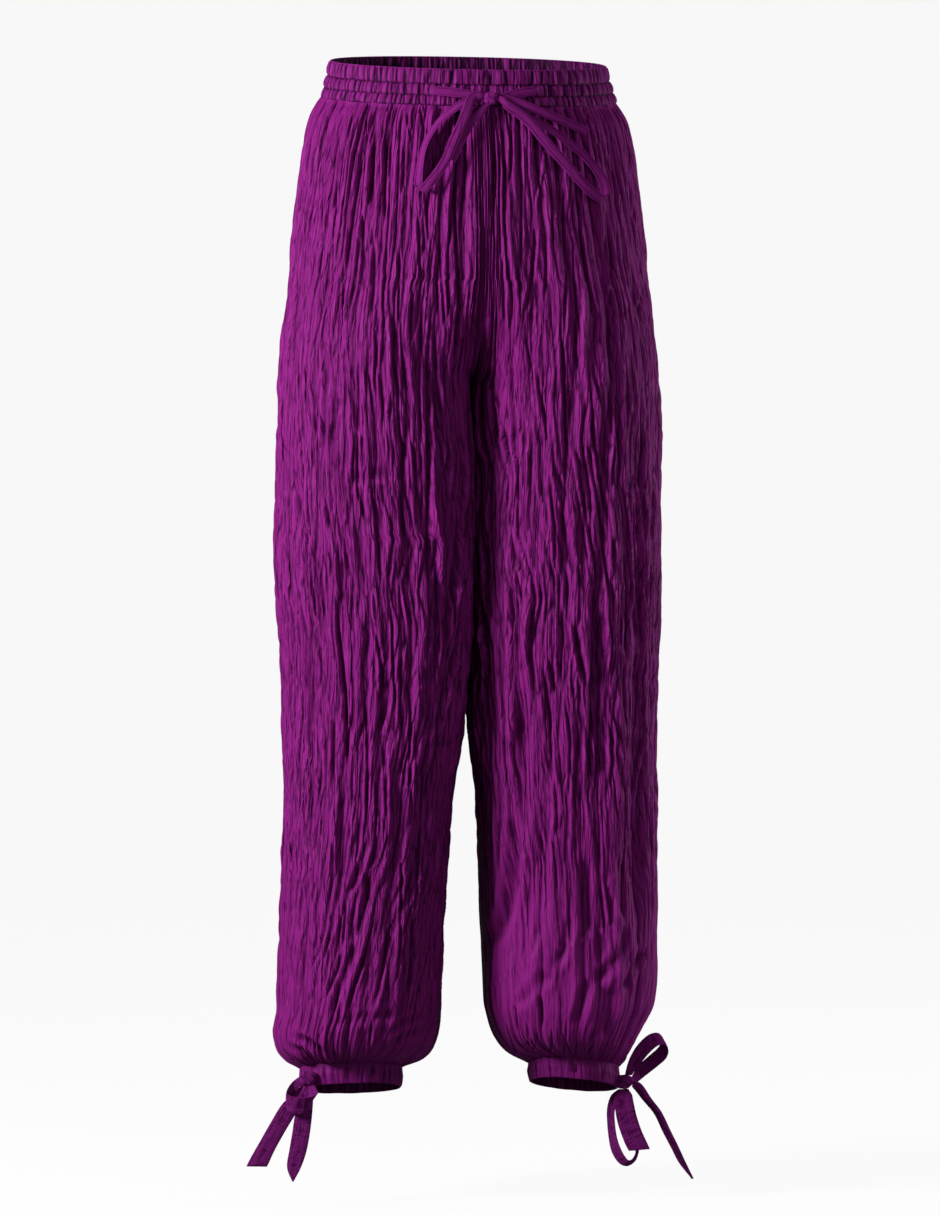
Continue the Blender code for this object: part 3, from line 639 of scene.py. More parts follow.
# Each leg's main creases, as seen from the front: a path through three points, its width and depth, and
# how far its steep side leans, -1 to 1. A negative depth is a ridge.
RIGHT_CREASES = (
    # top x, z, middle x, z, low x, z, width, depth, lean
    (-144, -32, -150, -60, -154, -100, 2.6, 2.6, 0),
    (-153, -94, -155, -150, -159, -225, 2.4, 2.6, 0),
    (-141, -96, -146, -170, -149, -225, 2.6, 2.4, 0),
    (-130, -127, -132, -152, -132, -177, 2.4, 2, 0),
    (-116, -70, -119, -133, -118, -201, 3, 3, 0),
    (-104, -35, -109, -94, -110, -154, 5, 5, 0),
    (-110, -154, -109, -201, -114, -251, 4.5, 4.5, 0),
    (-96, -67, -97, -109, -98, -154, 3, 3.4, 0),
    (-78, -74, -79, -99, -82, -124, 3, 2.6, 0),
    (-73, -40, -73, -55, -70, -72, 2.6, 2.6, 0),
    (-62, -34, -60, -48, -58, -66, 2.6, 2.8, 0),
    (-66, -141, -65, -178, -64, -212, 2.8, 3, 0),
    (-58, -124, -57, -149, -55, -174, 2.6, 2.6, 0),
    (-124, -38, -128, -54, -130, -69, 3, 2.8, 0),
    (-112, -42, -114, -56, -114, -70, 2.6, 2.6, 0),
    (-92, -35, -91, -41, -90, -49, 3, 2.6, 0),
    (-133, -37, -138, -52, -142, -72, 3, 2.6, 0),
    (-165, -72, -171, -112, -175, -162, 2.6, 2, 0),
    (-45, -168, -42, -217, -37, -260, 3, 3.2, 0),
    (-30, -129, -28, -188, -23, -245, 3.4, 3.6, 0),
    (-83, -168, -85, -217, -83, -261, 3.2, 3, 0),
    (-136, -181, -139, -226, -139, -270, 2.6, 2.6, 0),
    (-176, -258, -178, -342, -172, -414, 2.6, 2.6, 0),
    (-172, -414, -166, -508, -158, -596, 4, 4.4, 0),
    (-165, -338, -164, -358, -162, -380, 3, 2.8, 0),
    (-162, -401, -148, -455, -142, -479, 4.5, 3.4, 0.3),
    (-121, -409, -120, -424, -118, -440, 4.5, 3.4, 0),
    (-111, -402, -104, -460, -100, -508, 3.6, 3, 0),
    (-135, -470, -134, -482, -131, -496, 4.5, 3.2, 0),
    (-110, -538, -100, -588, -105, -627, 3.6, 3.4, 0),
    (-82, -275, -76, -336, -82, -405, 5.5, 4, 0),
    (-82, -405, -80, -440, -77, -470, 4.5, 3.4, 0),
    (-63, -275, -62, -323, -62, -367, 2.4, 2.4, 0),
    (-47, -474, -43, -533, -47, -592, 5, 4.2, 0),
    (-16, -425, -19, -479, -22, -538, 6, -6, 0),
    (-16, -558, -30, -616, -44, -677, 6, -6, 0),
    (-90, -526, -88, -577, -86, -627, 2.4, 2.2, 0),
    (-80, -559, -81, -616, -78, -655, 4.5, 3.4, 0),
    (-176, -575, -176, -597, -174, -618, 3, 2.6, 0),
    (-144, -527, -137, -606, -131, -704, 4, 4, 0),
    (-125, -261, -124, -363, -125, -479, 2.6, 2.4, 0),
    (-108, -256, -107, -285, -108, -326, 3.6, 3.2, 0),
    (-56, -260, -53, -382, -55, -518, 5, 4.4, 0),
    (-136, -406, -117, -400, -85, -392, 9, 2.2, 0.4),
    (-149, -616, -146, -660, -148, -714, 3.6, 3.2, 0),
    (-116, -616, -113, -674, -115, -733, 3.6, 3.4, 0),
    (-98, -655, -95, -704, -97, -762, 4, 3.2, 0),
    (-70, -606, -71, -665, -68, -743, 3.6, 3.2, 0),
    (-175, -656, -174, -705, -173, -758, 3, 2.6, 0),
    (-56, -684, -57, -733, -60, -763, 4, 3.4, 0),
    (-173, -754, -169, -792, -172, -873, 2.6, 2.8, 0),
    (-148, -748, -147, -785, -153, -819, 3.6, 3.6, 0),
    (-179, -754, -178, -783, -182, -810, 2.6, 2.4, 0),
    (-113, -747, -120, -780, -136, -811, 5, 4.4, 0),
    (-136, -811, -136, -835, -138, -860, 4, 3.8, 0),
    (-138, -860, -145, -884, -158, -913, 4.4, 4, 0),
    (-112, -780, -116, -818, -125, -851, 6, 5.2, 0),
    (-125, -851, -136, -886, -151, -931, 5, 4.2, 0),
    (-110, -840, -116, -865, -133, -918, 4.6, 3.8, 0),
    (-92, -837, -96, -871, -108, -922, 4.2, 3.8, 0),
    (-79, -762, -79, -831, -84, -901, 3.4, 3.2, 0),
    (-67, -826, -66, -865, -71, -912, 5, 4.6, 0),
    (-60, -758, -62, -792, -64, -831, 3.6, 3.2, 0),
    (-151, -831, -160, -859, -169, -883, 3.4, 3, 0),
    (-149, -840, -154, -862, -165, -882, 3, 2.8, 0),
    (-152, -931, -119, -927, -72, -920, 8, 1.4, 0),
    (-96, -946, -75, -933, -52, -924, 7, 1.4, 0),
    (-84, -955, -68, -945, -44, -937, 7, 1.4, 0),
    (-187, -955, -170, -967, -146, -982, 6, 3, 0),
    (-184, -945, -166, -954, -144, -968, 6, 2.2, 0),
    (-189, -965, -175, -977, -155, -989, 6, 2.4, 0),
    (-152, -933, -159, -945, -163, -962, 2.6, 2, 0),
    (-128, -926, -131, -943, -132, -967, 3, 2, 0),
    (-108, -928, -109, -946, -109, -969, 3, 2.2, 0),
    (-72, -980, -61, -971, -47, -959, 6, 2.4, 0),
)
LEFT_CREASES = (
    # top x, z, middle x, z, low x, z, width, depth, lean
    (63, -68, 56, -108, 49, -136, 3, -2.4, 0),
    (78, -94, 74, -127, 68, -153, 2.4, -2.2, 0),
    (82, -111, 79, -152, 82, -192, 3, 3.6, 0),
    (82, -192, 79, -225, 79, -269, 3.2, 3.8, 0),
    (90, -106, 87, -131, 84, -152, 2.4, -2, 0),
    (100, -148, 104, -190, 115, -244, 3.4, -3, 0),
    (97, -121, 98, -158, 104, -211, 3, 3.4, 0),
    (128, -152, 131, -199, 125, -244, 4, 2.6, 0),
    (156, -127, 163, -176, 160, -242, 4, 4.2, 0),
    (132, -53, 129, -76, 131, -100, 3.2, 2.6, 0),
    (117, -65, 119, -77, 121, -91, 3, 2.4, 0),
    (88, -161, 90, -215, 96, -266, 3, 2.8, 0),
    (148, -198, 151, -215, 154, -235, 3.6, 1.8, 0),
    (27, -34, 27, -79, 22, -133, 3.2, 3, 0),
    (9, -44, 9, -99, 6, -177, 4, 3.4, 0),
    (36, -59, 36, -128, 34, -206, 3.2, 3, 0),
    (49, -152, 47, -196, 35, -255, 4, 3.6, 0),
    (59, -142, 61, -186, 57, -235, 3, 2.8, 0),
    (18, -177, 17, -216, 22, -259, 2.8, 2.8, 0),
    (110, -37, 107, -48, 106, -60, 3, 2.6, 0),
    (147, -41, 148, -62, 149, -82, 2.8, 2.2, 0),
    (5, -290, 17, -331, 27, -390, 3, 3.2, 0),
    (26, -418, 32, -479, 44, -546, 3, 2.8, 0),
    (75, -254, 79, -323, 82, -381, 3.4, 3.6, 0),
    (86, -362, 99, -437, 113, -518, 3.6, -3.2, 0),
    (104, -327, 115, -391, 129, -454, 4.6, 4.2, 0),
    (129, -454, 130, -489, 129, -530, 4.6, 4, 0),
    (129, -295, 130, -351, 126, -418, 3, -2.6, 0),
    (76, -425, 83, -464, 92, -499, 5.5, 3.8, 0),
    (91, -536, 96, -572, 105, -608, 5, 6, 0),
    (66, -575, 69, -593, 73, -614, 5, 4.4, 0),
    (159, -615, 154, -656, 150, -710, 4.6, 4.6, 0),
    (144, -400, 149, -454, 160, -508, 3.4, -2.6, 0),
    (165, -513, 163, -558, 160, -607, 3.4, 3.2, 0),
    (152, -330, 160, -450, 158, -575, 16, 5, 0),
    (104, -480, 117, -600, 117, -720, 11, 3.6, 0),
    (60, -560, 66, -680, 62, -800, 10, 3.0, 0),
    (38, -590, 36, -740, 14, -890, 15, 7, 0),
    (158, -560, 161, -700, 156, -880, 18, 7, 0),
    (174, -631, 167, -676, 160, -724, 3.4, -2.4, 0),
    (35, -502, 39, -533, 44, -563, 2.8, 2.6, 0),
    (102, -526, 105, -538, 108, -552, 4, -2, 0),
    (51, -288, 58, -332, 66, -381, 3, 2.6, 0),
    (40, -264, 47, -298, 53, -342, 2.8, 2.4, 0),
    (103, -359, 112, -415, 122, -474, 4, 3, 0),
    (64, -391, 69, -440, 72, -508, 3.2, 2.8, 0),
    (76, -518, 79, -557, 76, -606, 3.2, 2.8, 0),
    (116, -557, 120, -606, 117, -660, 4, -2.4, 0),
    (112, -562, 108, -636, 107, -714, 5, 5, 0),
    (62, -606, 67, -646, 69, -704, 3.4, 3, 0),
    (81, -616, 87, -665, 83, -729, 3.4, 3, 0),
    (128, -607, 130, -656, 128, -715, 4, 3.2, 0),
    (38, -577, 42, -636, 46, -705, 4.5, 2.6, 0),
    (71, -749, 73, -783, 76, -810, 3.4, 2.4, 0),
    (85, -827, 84, -853, 70, -882, 8, 3, 0),
    (70, -882, 51, -900, 34, -920, 10, 2.6, 0),
    (14, -917, 31, -886, 59, -866, 2.2, -1.9, 0),
    (59, -866, 100, -852, 150, -832, 2.2, -1.9, 0),
    (105, -764, 106, -813, 108, -848, 10, 4.6, 0),
    (137, -764, 140, -804, 143, -835, 7, 3.4, 0),
    (143, -835, 135, -872, 105, -893, 9, 3.0, 0),
    (107, -889, 100, -911, 91, -945, 9, 3, 0),
    (132, -895, 128, -926, 122, -953, 12, 4.6, 0),
    (170, -860, 153, -885, 143, -904, 8, 3.2, 0),
    (57, -906, 59, -923, 60, -945, 4.4, 3, 0),
    (33, -917, 36, -931, 41, -949, 4.4, 3.2, 0),
    (58, -749, 60, -764, 63, -781, 4, 3.2, 0),
    (56, -837, 54, -852, 51, -870, 6, 2.6, 0),
    (120, -793, 125, -818, 128, -845, 3, -2.2, 0),
    (117, -797, 122, -823, 125, -846, 3, 2.4, 0),
    (58, -947, 58, -962, 62, -979, 2.4, 2, 0),
    (70, -941, 73, -959, 76, -980, 2.4, 2, 0),
    (81, -945, 86, -961, 87, -982, 2.4, 2, 0),
    (96, -951, 98, -966, 97, -984, 2.4, 2, 0),
    (115, -953, 111, -970, 107, -988, 3, 2.2, 0),
    (131, -952, 126, -971, 121, -989, 3, 2.2, 0),
    (45, -932, 50, -952, 57, -977, 3, 2.4, 0),
    (30, -934, 38, -956, 54, -979, 3.4, 2.6, 0),
)

# The finest crinkles of the cloth are facets, this many a metre across and along it. FACET_EDGE is how
# wide the creases between them are, in facet widths, and the line shades are how much painted shade darkens
# those creases.
FACET_SCALE = (175.0, 19.0, 1.0)
SMALL_FACET_SCALE = (400.0, 42.0, 1.0)
FACET_EDGE = 0.13
FACET_NOTCH = 0.22
FACET_HEIGHT = 0.0042
SMALL_FACET_SHARE = 0.38
LINE_SHADE = 0.40
SMALL_LINE_SHADE = 0.18

LOOKS = {
    # painted shade in the troughs, the cloth's own colour, painted highlight on the ridges, then the bump,
    # the painted shade of the fine lines and the shine
    "crinkled_cloth": ((0.085, 0.003, 0.070), (0.222, 0.0105, 0.178), (0.262, 0.016, 0.210), 1.0, 1.0, 0.05),
    "waistband_cloth": ((0.030, 0.001, 0.027), (0.195, 0.010, 0.160), (0.260, 0.020, 0.218), 0.5, 1.0, 0.05),
    "cuff_cloth": ((0.060, 0.002, 0.050), (0.158, 0.008, 0.130), (0.205, 0.014, 0.170), 0.4, 0.1, 0.05),
    "drawstring_cloth": ((0.120, 0.005, 0.100), (0.205, 0.014, 0.172), (0.250, 0.022, 0.210), 0.35, 0.2, 0.0),
    "tie_cloth": ((0.045, 0.002, 0.040), (0.158, 0.012, 0.138), (0.205, 0.019, 0.180), 0.35, 0.2, 0.0),
    "thread": ((0.040, 0.002, 0.032), (0.075, 0.004, 0.060), (0.120, 0.008, 0.095), 0.2, 1.0, 0.05),
}
ROUGHNESS = 0.55
SHEEN = 0.04
SHEEN_ROUGHNESS = 0.45
SHEEN_TINT = (0.80, 0.28, 0.72, 1.0)
FACET_BUMP = 0.8
THREAD_BUMP = 0.22
# Where on the way from a trough to a ridge the painted shade is half gone, and where it is all gone, leaving
# the cloth's own colour
HALF_PAINTED_SHADE = 0.22
NO_PAINTED_SHADE = 0.45
DYE_UNEVENNESS = 0.5
WHITE = (1.0, 1.0, 1.0, 1.0)
# Scales across and along the cloth, in steps a metre, and the height of the thread's bump in metres
WAVES = (140.0, 30.0, 1.0)
WAVE_SHIFT = (0.006, 0.0, 0.0)
THREADS = (2600.0, 900.0, 1.0)
THREAD_HEIGHT = 0.0001
PATCHES = (60.0, 14.0, 1.0)

# Stage and light
LAMPS = (
    # name, place and aim in metres, size in metres, power in watts
    ("key", (-2.0, -0.93, 0.15), (0.0, 0.0, -0.55), (0.55, 0.6), 66.0),
    ("fill", (1.2, -3.8, 0.2), (0.0, 0.0, -0.55), (1.6, 2.2), 15.0),
    ("back", (3.0, 0.4, -0.3), (0.0, 0.0, -0.6), (1.0, 2.0), 42.0),
)
WORLD_LIGHT = 0.118
FLOOR_GLOW = 0.922
FLOOR_COLOUR = (0.05, 0.05, 0.05, 1.0)
FLOOR_ROUGHNESS = 0.9
FLOOR_BEND_STEPS = 12
FLOOR_SIDES = 72
FLOOR_Z = -1120.0
FLOOR_REACH = 6000.0
FLOOR_BEND = 1500.0
BACKDROP_TOP = 7000.0


def ease(value):
    value = np.clip(value, 0.0, 1.0)
    return value * value * (3.0 - 2.0 * value)


def steady_slopes(rows):
    """Slopes at the rows that keep a curve from passing beyond its neighbouring rows."""
    steps = np.diff(rows, axis=0)
    before, after = steps[:-1], steps[1:]
    total = np.where(before * after > 0.0, before + after, 1.0)
    inside = np.where(before * after > 0.0, 2.0 * before * after / total, 0.0)
    return np.concatenate([steps[:1], inside, steps[-1:]])


def through(rows, at, slopes):
    """The rows' values at fractional row numbers, on smooth curves with the given slopes at the rows."""
    at = np.clip(np.asarray(at, float), 0.0, len(rows) - 1.0)
    low = np.minimum(at.astype(int), len(rows) - 2)
    part = (at - low)[:, None]
    near, far = rows[low], rows[low + 1]
    return (
        near * (1.0 + 2.0 * part) * (1.0 - part) ** 2
        + slopes[low] * part * (1.0 - part) ** 2
        + far * part**2 * (3.0 - 2.0 * part)
        - slopes[low + 1] * part**2 * (1.0 - part)
    )


def squared(value, squareness):
    return np.sign(value) * np.abs(value) ** (2.0 / squareness)


def outline(row):
    """A leg's closed outline, as if it were the left one, from its innermost point by the front."""
    z, outer, inner, front, back, tilt, roll, squareness_inside = row
    turn = np.linspace(0.0, 2.0 * math.pi, OUTLINE_POINTS)
    squareness = np.where(np.cos(turn) > 0.0, squareness_inside, OUTER_SQUARENESS)
    middle, half = (outer + inner) / 2.0, (outer - inner) / 2.0
    centre, depth = (front + back) / 2.0, (back - front) / 2.0
    x = middle - half * squared(np.cos(turn), squareness)
    y = centre - depth * squared(np.sin(turn), squareness)
    height = z + tilt * (y - centre) / (2.0 * depth) + roll * (x - middle) / (2.0 * half)
    return np.stack([x, y, height], axis=1)


def lengths_along(line):
    steps = np.linalg.norm(np.diff(line, axis=0), axis=1)
    return np.concatenate([[0.0], np.cumsum(steps)])


def at_lengths(line, wanted):
    along = lengths_along(line)
    return np.stack([np.interp(wanted, along, line[:, k]) for k in range(3)], axis=1)


def half_outline(row, part):
    """A row's outline, and the lengths along it to the outseam and to where a front or back panel ends."""
    line = outline(row)
    along = lengths_along(line)
    seam = OUTSEAM_SHARE * along[-1]
    past_centre = line[:, 0] >= SEAM_GAP / 2.0
    if past_centre.all():
        return line, seam, SEAM_GAP / 2.0 if part == "front" else along[-1] - SEAM_GAP / 2.0
    first = np.flatnonzero(past_centre)[0 if part == "front" else -1]
    before = first - 1 if part == "front" else first + 1
    share = (SEAM_GAP / 2.0 - line[before, 0]) / (line[first, 0] - line[before, 0])
    return line, seam, along[before] + share * (along[first] - along[before])


def noise(across, down, seed):
    """Smooth gradient noise from -1 to 1, with one bump or so in each unit square."""
    turns = np.random.default_rng(seed).random((256, 256)) * 2.0 * math.pi
    column, row = np.floor(across).astype(int), np.floor(down).astype(int)
    x, y = across - column, down - row
    total = 0.0
    for right in (0, 1):
        for below in (0, 1):
            turn = turns[(column + right) % 256, (row + below) % 256]
            slope = np.cos(turn) * (x - right) + np.sin(turn) * (y - below)
            weight = ease(1.0 - np.abs(x - right)) * ease(1.0 - np.abs(y - below))
            total = total + slope * weight
    return 1.5 * total


def facets(across, down, seed, turned=0.0):
    """Crushed cloth as long flat facets: how far a point is from its facet's edge, in facet widths, and
    the height of the tilted facets there, in facet widths for a slope of 1, run together at their edges."""
    chance = np.random.default_rng(seed).random((5, 256, 256))
    column, row = np.floor(across).astype(int), np.floor(down).astype(int)
    nearest = np.full(across.shape, 9.0)
    second = np.full(across.shape, 9.0)
    total = np.zeros(across.shape)
    weights = np.zeros(across.shape)
    room = 1.0 - 2.0 * FACET_MARGIN
    for right in (-1, 0, 1):
        for below in (-1, 0, 1):
            spot = (slice(None), (column + right) % 256, (row + below) % 256)
            aside, under, slope, slant, lift = chance[spot]
            x = across - (column + right + FACET_MARGIN + room * aside)
            y = down - (row + below + FACET_MARGIN + room * under)
            distance = np.hypot(x, y)
            second = np.where(distance < nearest, nearest, np.minimum(second, distance))
            nearest = np.minimum(nearest, distance)
            weight = np.exp(-FACET_SHARPNESS * distance)
            tilted = x * (2.0 * slope - 1.0 + turned) + FACET_SLANT * y * (2.0 * slant - 1.0)
            total += weight * (tilted + FACET_LIFT * (lift - 0.5))
            weights += weight
    return (second - nearest) / 2.0, total / weights


def notch(distance, width):
    """A narrow trough: 1 at its bottom and 0 beyond about twice its width."""
    return np.exp(-((np.abs(distance) / width) ** 1.4))


def pleats(across, down, seed, lean=0.5, width=0.13, turned=0.0):
    """Strips of cloth side by side, of uneven width, tilt and height, with narrow troughs between."""
    wander = across + PLEAT_WANDER * noise(across / 3.1, down * 0.8, seed)
    wander = wander + SMALL_WANDER * noise(across, down * 2.0, seed + 1)
    edge, tilted = facets(wander, down, seed + 2, turned)
    uneven = noise(across / 1.7, down * 1.4, seed + 3)
    strength = np.clip(TROUGH_LEVEL + TROUGH_CONTRAST * uneven, *TROUGH_LIMITS)
    return 1.0 + lean * tilted - strength * notch(edge, width)


def from_table(table, z, column):
    """A table's value at a height, on straight lines between its rows, which run down from the top."""
    rows = np.asarray(table, float)
    return np.interp(-z, -rows[:, 0], rows[:, column])


def crinkles(side_name, place, z, seed):
    """The height of the crinkled cloth at a place across the panel and a height on the leg."""
    table = CRINKLES[side_name]
    outer, middle, inner = (from_table(SWEEPS[side_name], z, column) for column in (1, 2, 3))
    share = place / (CORE_WIDTH + HOOK_WIDTH)
    outer_half = outer + (middle - outer) * ease(share * 2.0)
    inner_half = middle + (inner - middle) * ease(share * 2.0 - 1.0)
    flow = place + np.where(share < 0.5, outer_half, inner_half)
    turned = FACET_TURN if side_name == "right" else -FACET_TURN
    bent = flow + from_table(table, z, 5) * noise(flow / KINK_PITCH, z / KINK_LENGTH, seed)
    long = pleats(bent / PLEAT_PITCH, z / PLEAT_LENGTH, seed + 2, PLEAT_TILT, PLEAT_NOTCH, turned)
    crush = 0.0
    for pitch, length, tilt, depth in CRUSH_SIZES:
        edge, tilted = facets(bent / pitch, z / length, seed + int(pitch), turned)
        crush = crush + tilt * pitch * tilted - depth * notch(edge, CRUSH_NOTCH)
    patches = noise(flow / PATCH_PITCH, z / PATCH_LENGTH, seed + 6)
    crush = crush * np.clip(PATCH_LEVEL + PATCH_CONTRAST * patches, *PATCH_LIMITS)
    edge, tilted = facets(bent / FINE_PITCH, z / FINE_LENGTH, seed + 7, turned)
    fine = FINE_TILT * FINE_PITCH * tilted - notch(edge, FINE_NOTCH)
    swell = noise(flow / SWELL_PITCH, z / SWELL_LENGTH, seed + 8)
    coarse = from_table(table, z, 1) * (long - PLEAT_LEVEL) + from_table(table, z, 2) * crush
    coarse = coarse + from_table(table, z, 4) * swell
    deeper = INNER_DEPTH * ease((share - DEEPER_FROM) / DEEPER_OVER) * ease((INNER_TOP - z) / INNER_FADE)
    calmer = INNER_CALM * ease((share - CALMER_FROM) / CALMER_OVER) * ease((INNER_LOW - z) / INNER_FADE)
    return coarse * (1.0 + deeper) * (1.0 - calmer) + from_table(table, z, 3) * fine


def creases(base, table, mirror):
    """How deep the main creases lie at each point of a panel's surface."""
    x, z = base[:, :, 0] * mirror, base[:, :, 2]
    across = np.gradient(base, axis=1)
    facing = np.clip(np.abs(across[:, :, 0]) / np.linalg.norm(across, axis=2), LEAST_FACING, 1.0)
    depth_at = np.zeros(x.shape)
    for top_x, top_z, mid_x, mid_z, low_x, low_z, width, depth, lean in table:
        if width < NARROW_CREASE:
            width, depth = width * NARROW_WIDTH, depth * NARROW_DEPTH
        turn = np.linspace(0.0, 1.0, CREASE_STEPS)[:, None]
        ends = np.array([[top_x, top_z], [mid_x, mid_z], [low_x, low_z]])
        bend = 2.0 * ends[1] - (ends[0] + ends[2]) / 2.0
        path = ends[0] * (1.0 - turn) ** 2 + bend * 2.0 * turn * (1.0 - turn) + ends[2] * turn**2
        low, high = path.min(axis=0) - CREASE_REACH * width, path.max(axis=0) + CREASE_REACH * width
        near = (x > low[0]) & (x < high[0]) & (z > low[1]) & (z < high[1])
        if not near.any():
            continue
        where, aside = beside(path, np.stack([x[near], z[near]], axis=1), facing[near])
        half = width * np.where(aside > 0.0, 1.0 + LEAN_WIDTH * lean, 1.0 - LEAN_WIDTH * lean)
        away = np.abs(aside) / half
        share = np.clip(1.0 - away, 0.0, 1.0)
        soft = min(max((width - SOFT_CREASE) / SOFT_FADE, 0.0), 1.0)
        trough = share**CREASE_POWER * (1.0 - soft) + ease(share) * soft
        roll = CREASE_ROLL * np.exp(-((away - ROLL_PLACE) ** 2) * ROLL_NARROWNESS)
        fading = depth * ease(where * TOP_DEEPENING) * ease((1.0 - where) * LOW_DEEPENING)
        depth_at[near] += fading * (trough - roll)
    return depth_at


def beside(path, points, facing):
    """How far along a path each point is, from 0 to 1, and how far aside of it, on the cloth."""
    best = np.full(len(points), 1e9)
    where = np.zeros(len(points))
    aside = np.zeros(len(points))
    for number in range(len(path) - 1):
        start, step = path[number], path[number + 1] - path[number]
        offset = points - start
        share = np.clip(offset @ step / (step @ step), 0.0, 1.0)
        away = offset - share[:, None] * step
        away[:, 0] = away[:, 0] / facing
        distance = np.linalg.norm(away, axis=1)
        better = distance < best
        best = np.where(better, distance, best)
        where = np.where(better, (number + share) / (len(path) - 1.0), where)
        turned = step[0] * away[:, 1] - step[1] * away[:, 0]
        aside = np.where(better, np.sign(turned) * distance, aside)
    return where, aside


def fold_troughs(folds, share, down, z):
    """How deep the frame's own large folds lie, at a share of the core's width."""
    table = np.asarray(folds, float)
    count = len(folds)
    depth = np.zeros(share.shape)
    for number, (shift, lean, *depths) in enumerate(table):
        middle = (number + 0.5 + SHIFT_SHARE * shift + LEAN_SHARE * lean * down) / count
        deep = np.interp(-z, (-HIP_Z, -KNEE_Z, -CALF_Z), depths)
        depth += deep * np.clip(1.0 - np.abs(share - middle) * 2.0 * count, 0.0, 1.0) ** 1.3
    return depth


def cavity(height):
    """How far each point of a relief stands above its neighbourhood, from -1 in a narrow trough to 1."""
    blurred = height
    for axis, reach in NEIGHBOURHOOD:
        width = 2 * reach + 1
        first, last = blurred.take([0] * (reach + 1), axis), blurred.take([-1] * reach, axis)
        padded = np.concatenate([first, blurred, last], axis)
        sums = np.cumsum(padded, axis=axis)
        ends = np.arange(width, padded.shape[axis])
        blurred = (sums.take(ends, axis) - sums.take(ends - width, axis)) / width
    return np.clip((height - blurred) / CAVITY_DEPTH, -1.0, 1.0)


def base_normals(grid):
    down = np.gradient(grid, axis=0)
    across = np.gradient(grid, axis=1)
    normal = np.cross(across, down)
    return normal / np.linalg.norm(normal, axis=2, keepdims=True)


def even_places(table, count):
    """Places between a table's rows, an even step apart down the middle of the front."""
    fine = np.linspace(0.0, len(table) - 1.0, 2000)
    rows = through(table, fine, steady_slopes(table))
    reach = (rows[:, 1] - rows[:, 2]) / 2.0
    line = np.stack([rows[:, 0], reach, (rows[:, 4] - rows[:, 3]) / 2.0], axis=1)
    along = lengths_along(line)
    return np.interp(np.linspace(0.0, along[-1], count), along, fine)


def patterns(side_name, part):
    """A panel's large folds and its creases. A back panel has the other leg's, mirrored."""
    if (side_name == "right") == (part == "front"):
        return RIGHT_FRONT_FOLDS, RIGHT_CREASES
    return LEFT_FRONT_FOLDS, LEFT_CREASES


def panel_base(side_name, part):
    """A panel's smooth surface, the large folds' depth, the distance from a side seam, and each row's z."""
    side, table = SIDES[side_name]
    table = np.asarray(table, float)
    rows = through(table, even_places(table, PANEL_ROWS), steady_slopes(table))
    toward, column = (-1.0, 1) if part == "front" else (1.0, 2)
    folds = patterns(side_name, part)[0]
    top_z, hem_z = rows[0][0], rows[-1][0]
    base, large, edge = [], [], []
    for number, row in enumerate(rows):
        z = row[0]
        line, seam, end = half_outline(row, part)
        start = seam + toward * SEAM_GAP / 2.0
        width = abs(end - start)
        whole_width = seam if part == "front" else lengths_along(line)[-1] - seam
        core = min(whole_width * (1.0 - from_table(HOOKS, z, column)), width * (1.0 - LEAST_HOOK))
        if z < CORE_LIMITS[0][0]:
            core = min(core, from_table(CORE_LIMITS, z, column))
        spots = np.concatenate([CORE_SHARES * core, core + (width - core) * HOOK_SHARES])
        trough = fold_troughs(folds, CORE_SHARES, number / (len(rows) - 1.0), z)
        free = np.minimum(ease((top_z - z) / WAIST_FADE), ease((z - hem_z) / HEM_FADE))
        depth = SEAM_FOLD_DEPTH + (FOLD_DEPTH - SEAM_FOLD_DEPTH) * free
        base.append(at_lengths(line, start + toward * spots) * np.array([side, 1.0, 1.0]))
        large.append(np.concatenate([trough, np.zeros(HOOK_COLUMNS)]) * depth)
        edge.append(np.minimum(spots, width - spots))
    return np.asarray(base), np.asarray(large), np.asarray(edge), rows[:, 0]


def toward_inseam(place):
    """From 0 on a panel's core to 1 halfway across its crotch hook."""
    return ease((place - CORE_WIDTH) / (0.5 * HOOK_WIDTH))


def panel_points(side_name, part, seed):
    """The points of one leg panel, their places on the cloth, and the height of its relief."""
    side = SIDES[side_name][0]
    base, large, edge, levels = panel_base(side_name, part)
    normal = base_normals(base)
    if normal[1, 3] @ base[1, 3] < 0.0:
        normal = -normal
    place = np.concatenate([CORE_SHARES * CORE_WIDTH, CORE_WIDTH + HOOK_WIDTH * HOOK_SHARES])
    place = np.broadcast_to(place, base.shape[:2])
    z = base[:, :, 2]
    height = crinkles(side_name, place, z, seed) - large * FOLD_SHARE
    height = height - creases(base, patterns(side_name, part)[1], 1.0 if part == "front" else -1.0)
    # The cloth turns in at its seams, and its relief is held flat where it is sewn
    below_top = ease((levels[0] - levels) / TOP_HOLD)[:, None]
    above_hem = ease((levels - levels[-1]) / SEAM_HOLD)[:, None]
    free = np.minimum(ease(edge / SEAM_HOLD), np.minimum(below_top, above_hem))
    height = height * (0.5 + 0.5 * free) - TOP_DIP * (1.0 - below_top) - HEM_DIP * (1.0 - above_hem)
    dip = np.where(place < CORE_WIDTH / 2.0, OUTSEAM_DIP, INSEAM_DIP)
    height = height - dip * (1.0 - ease(edge / SEAM_TURN))
    # Where the legs nearly touch, the cloth stands out by as much as its troughs stand back
    height = height + from_table(INSEAM_RISE, z, 1 if side < 0.0 else 2) * toward_inseam(place)
    points = base + normal * height[:, :, None]
    points[:, :, 0] = side * np.maximum(side * points[:, :, 0], LEAST_GAP / 2.0)
    return with_allowance(points, base, normal, place, height)


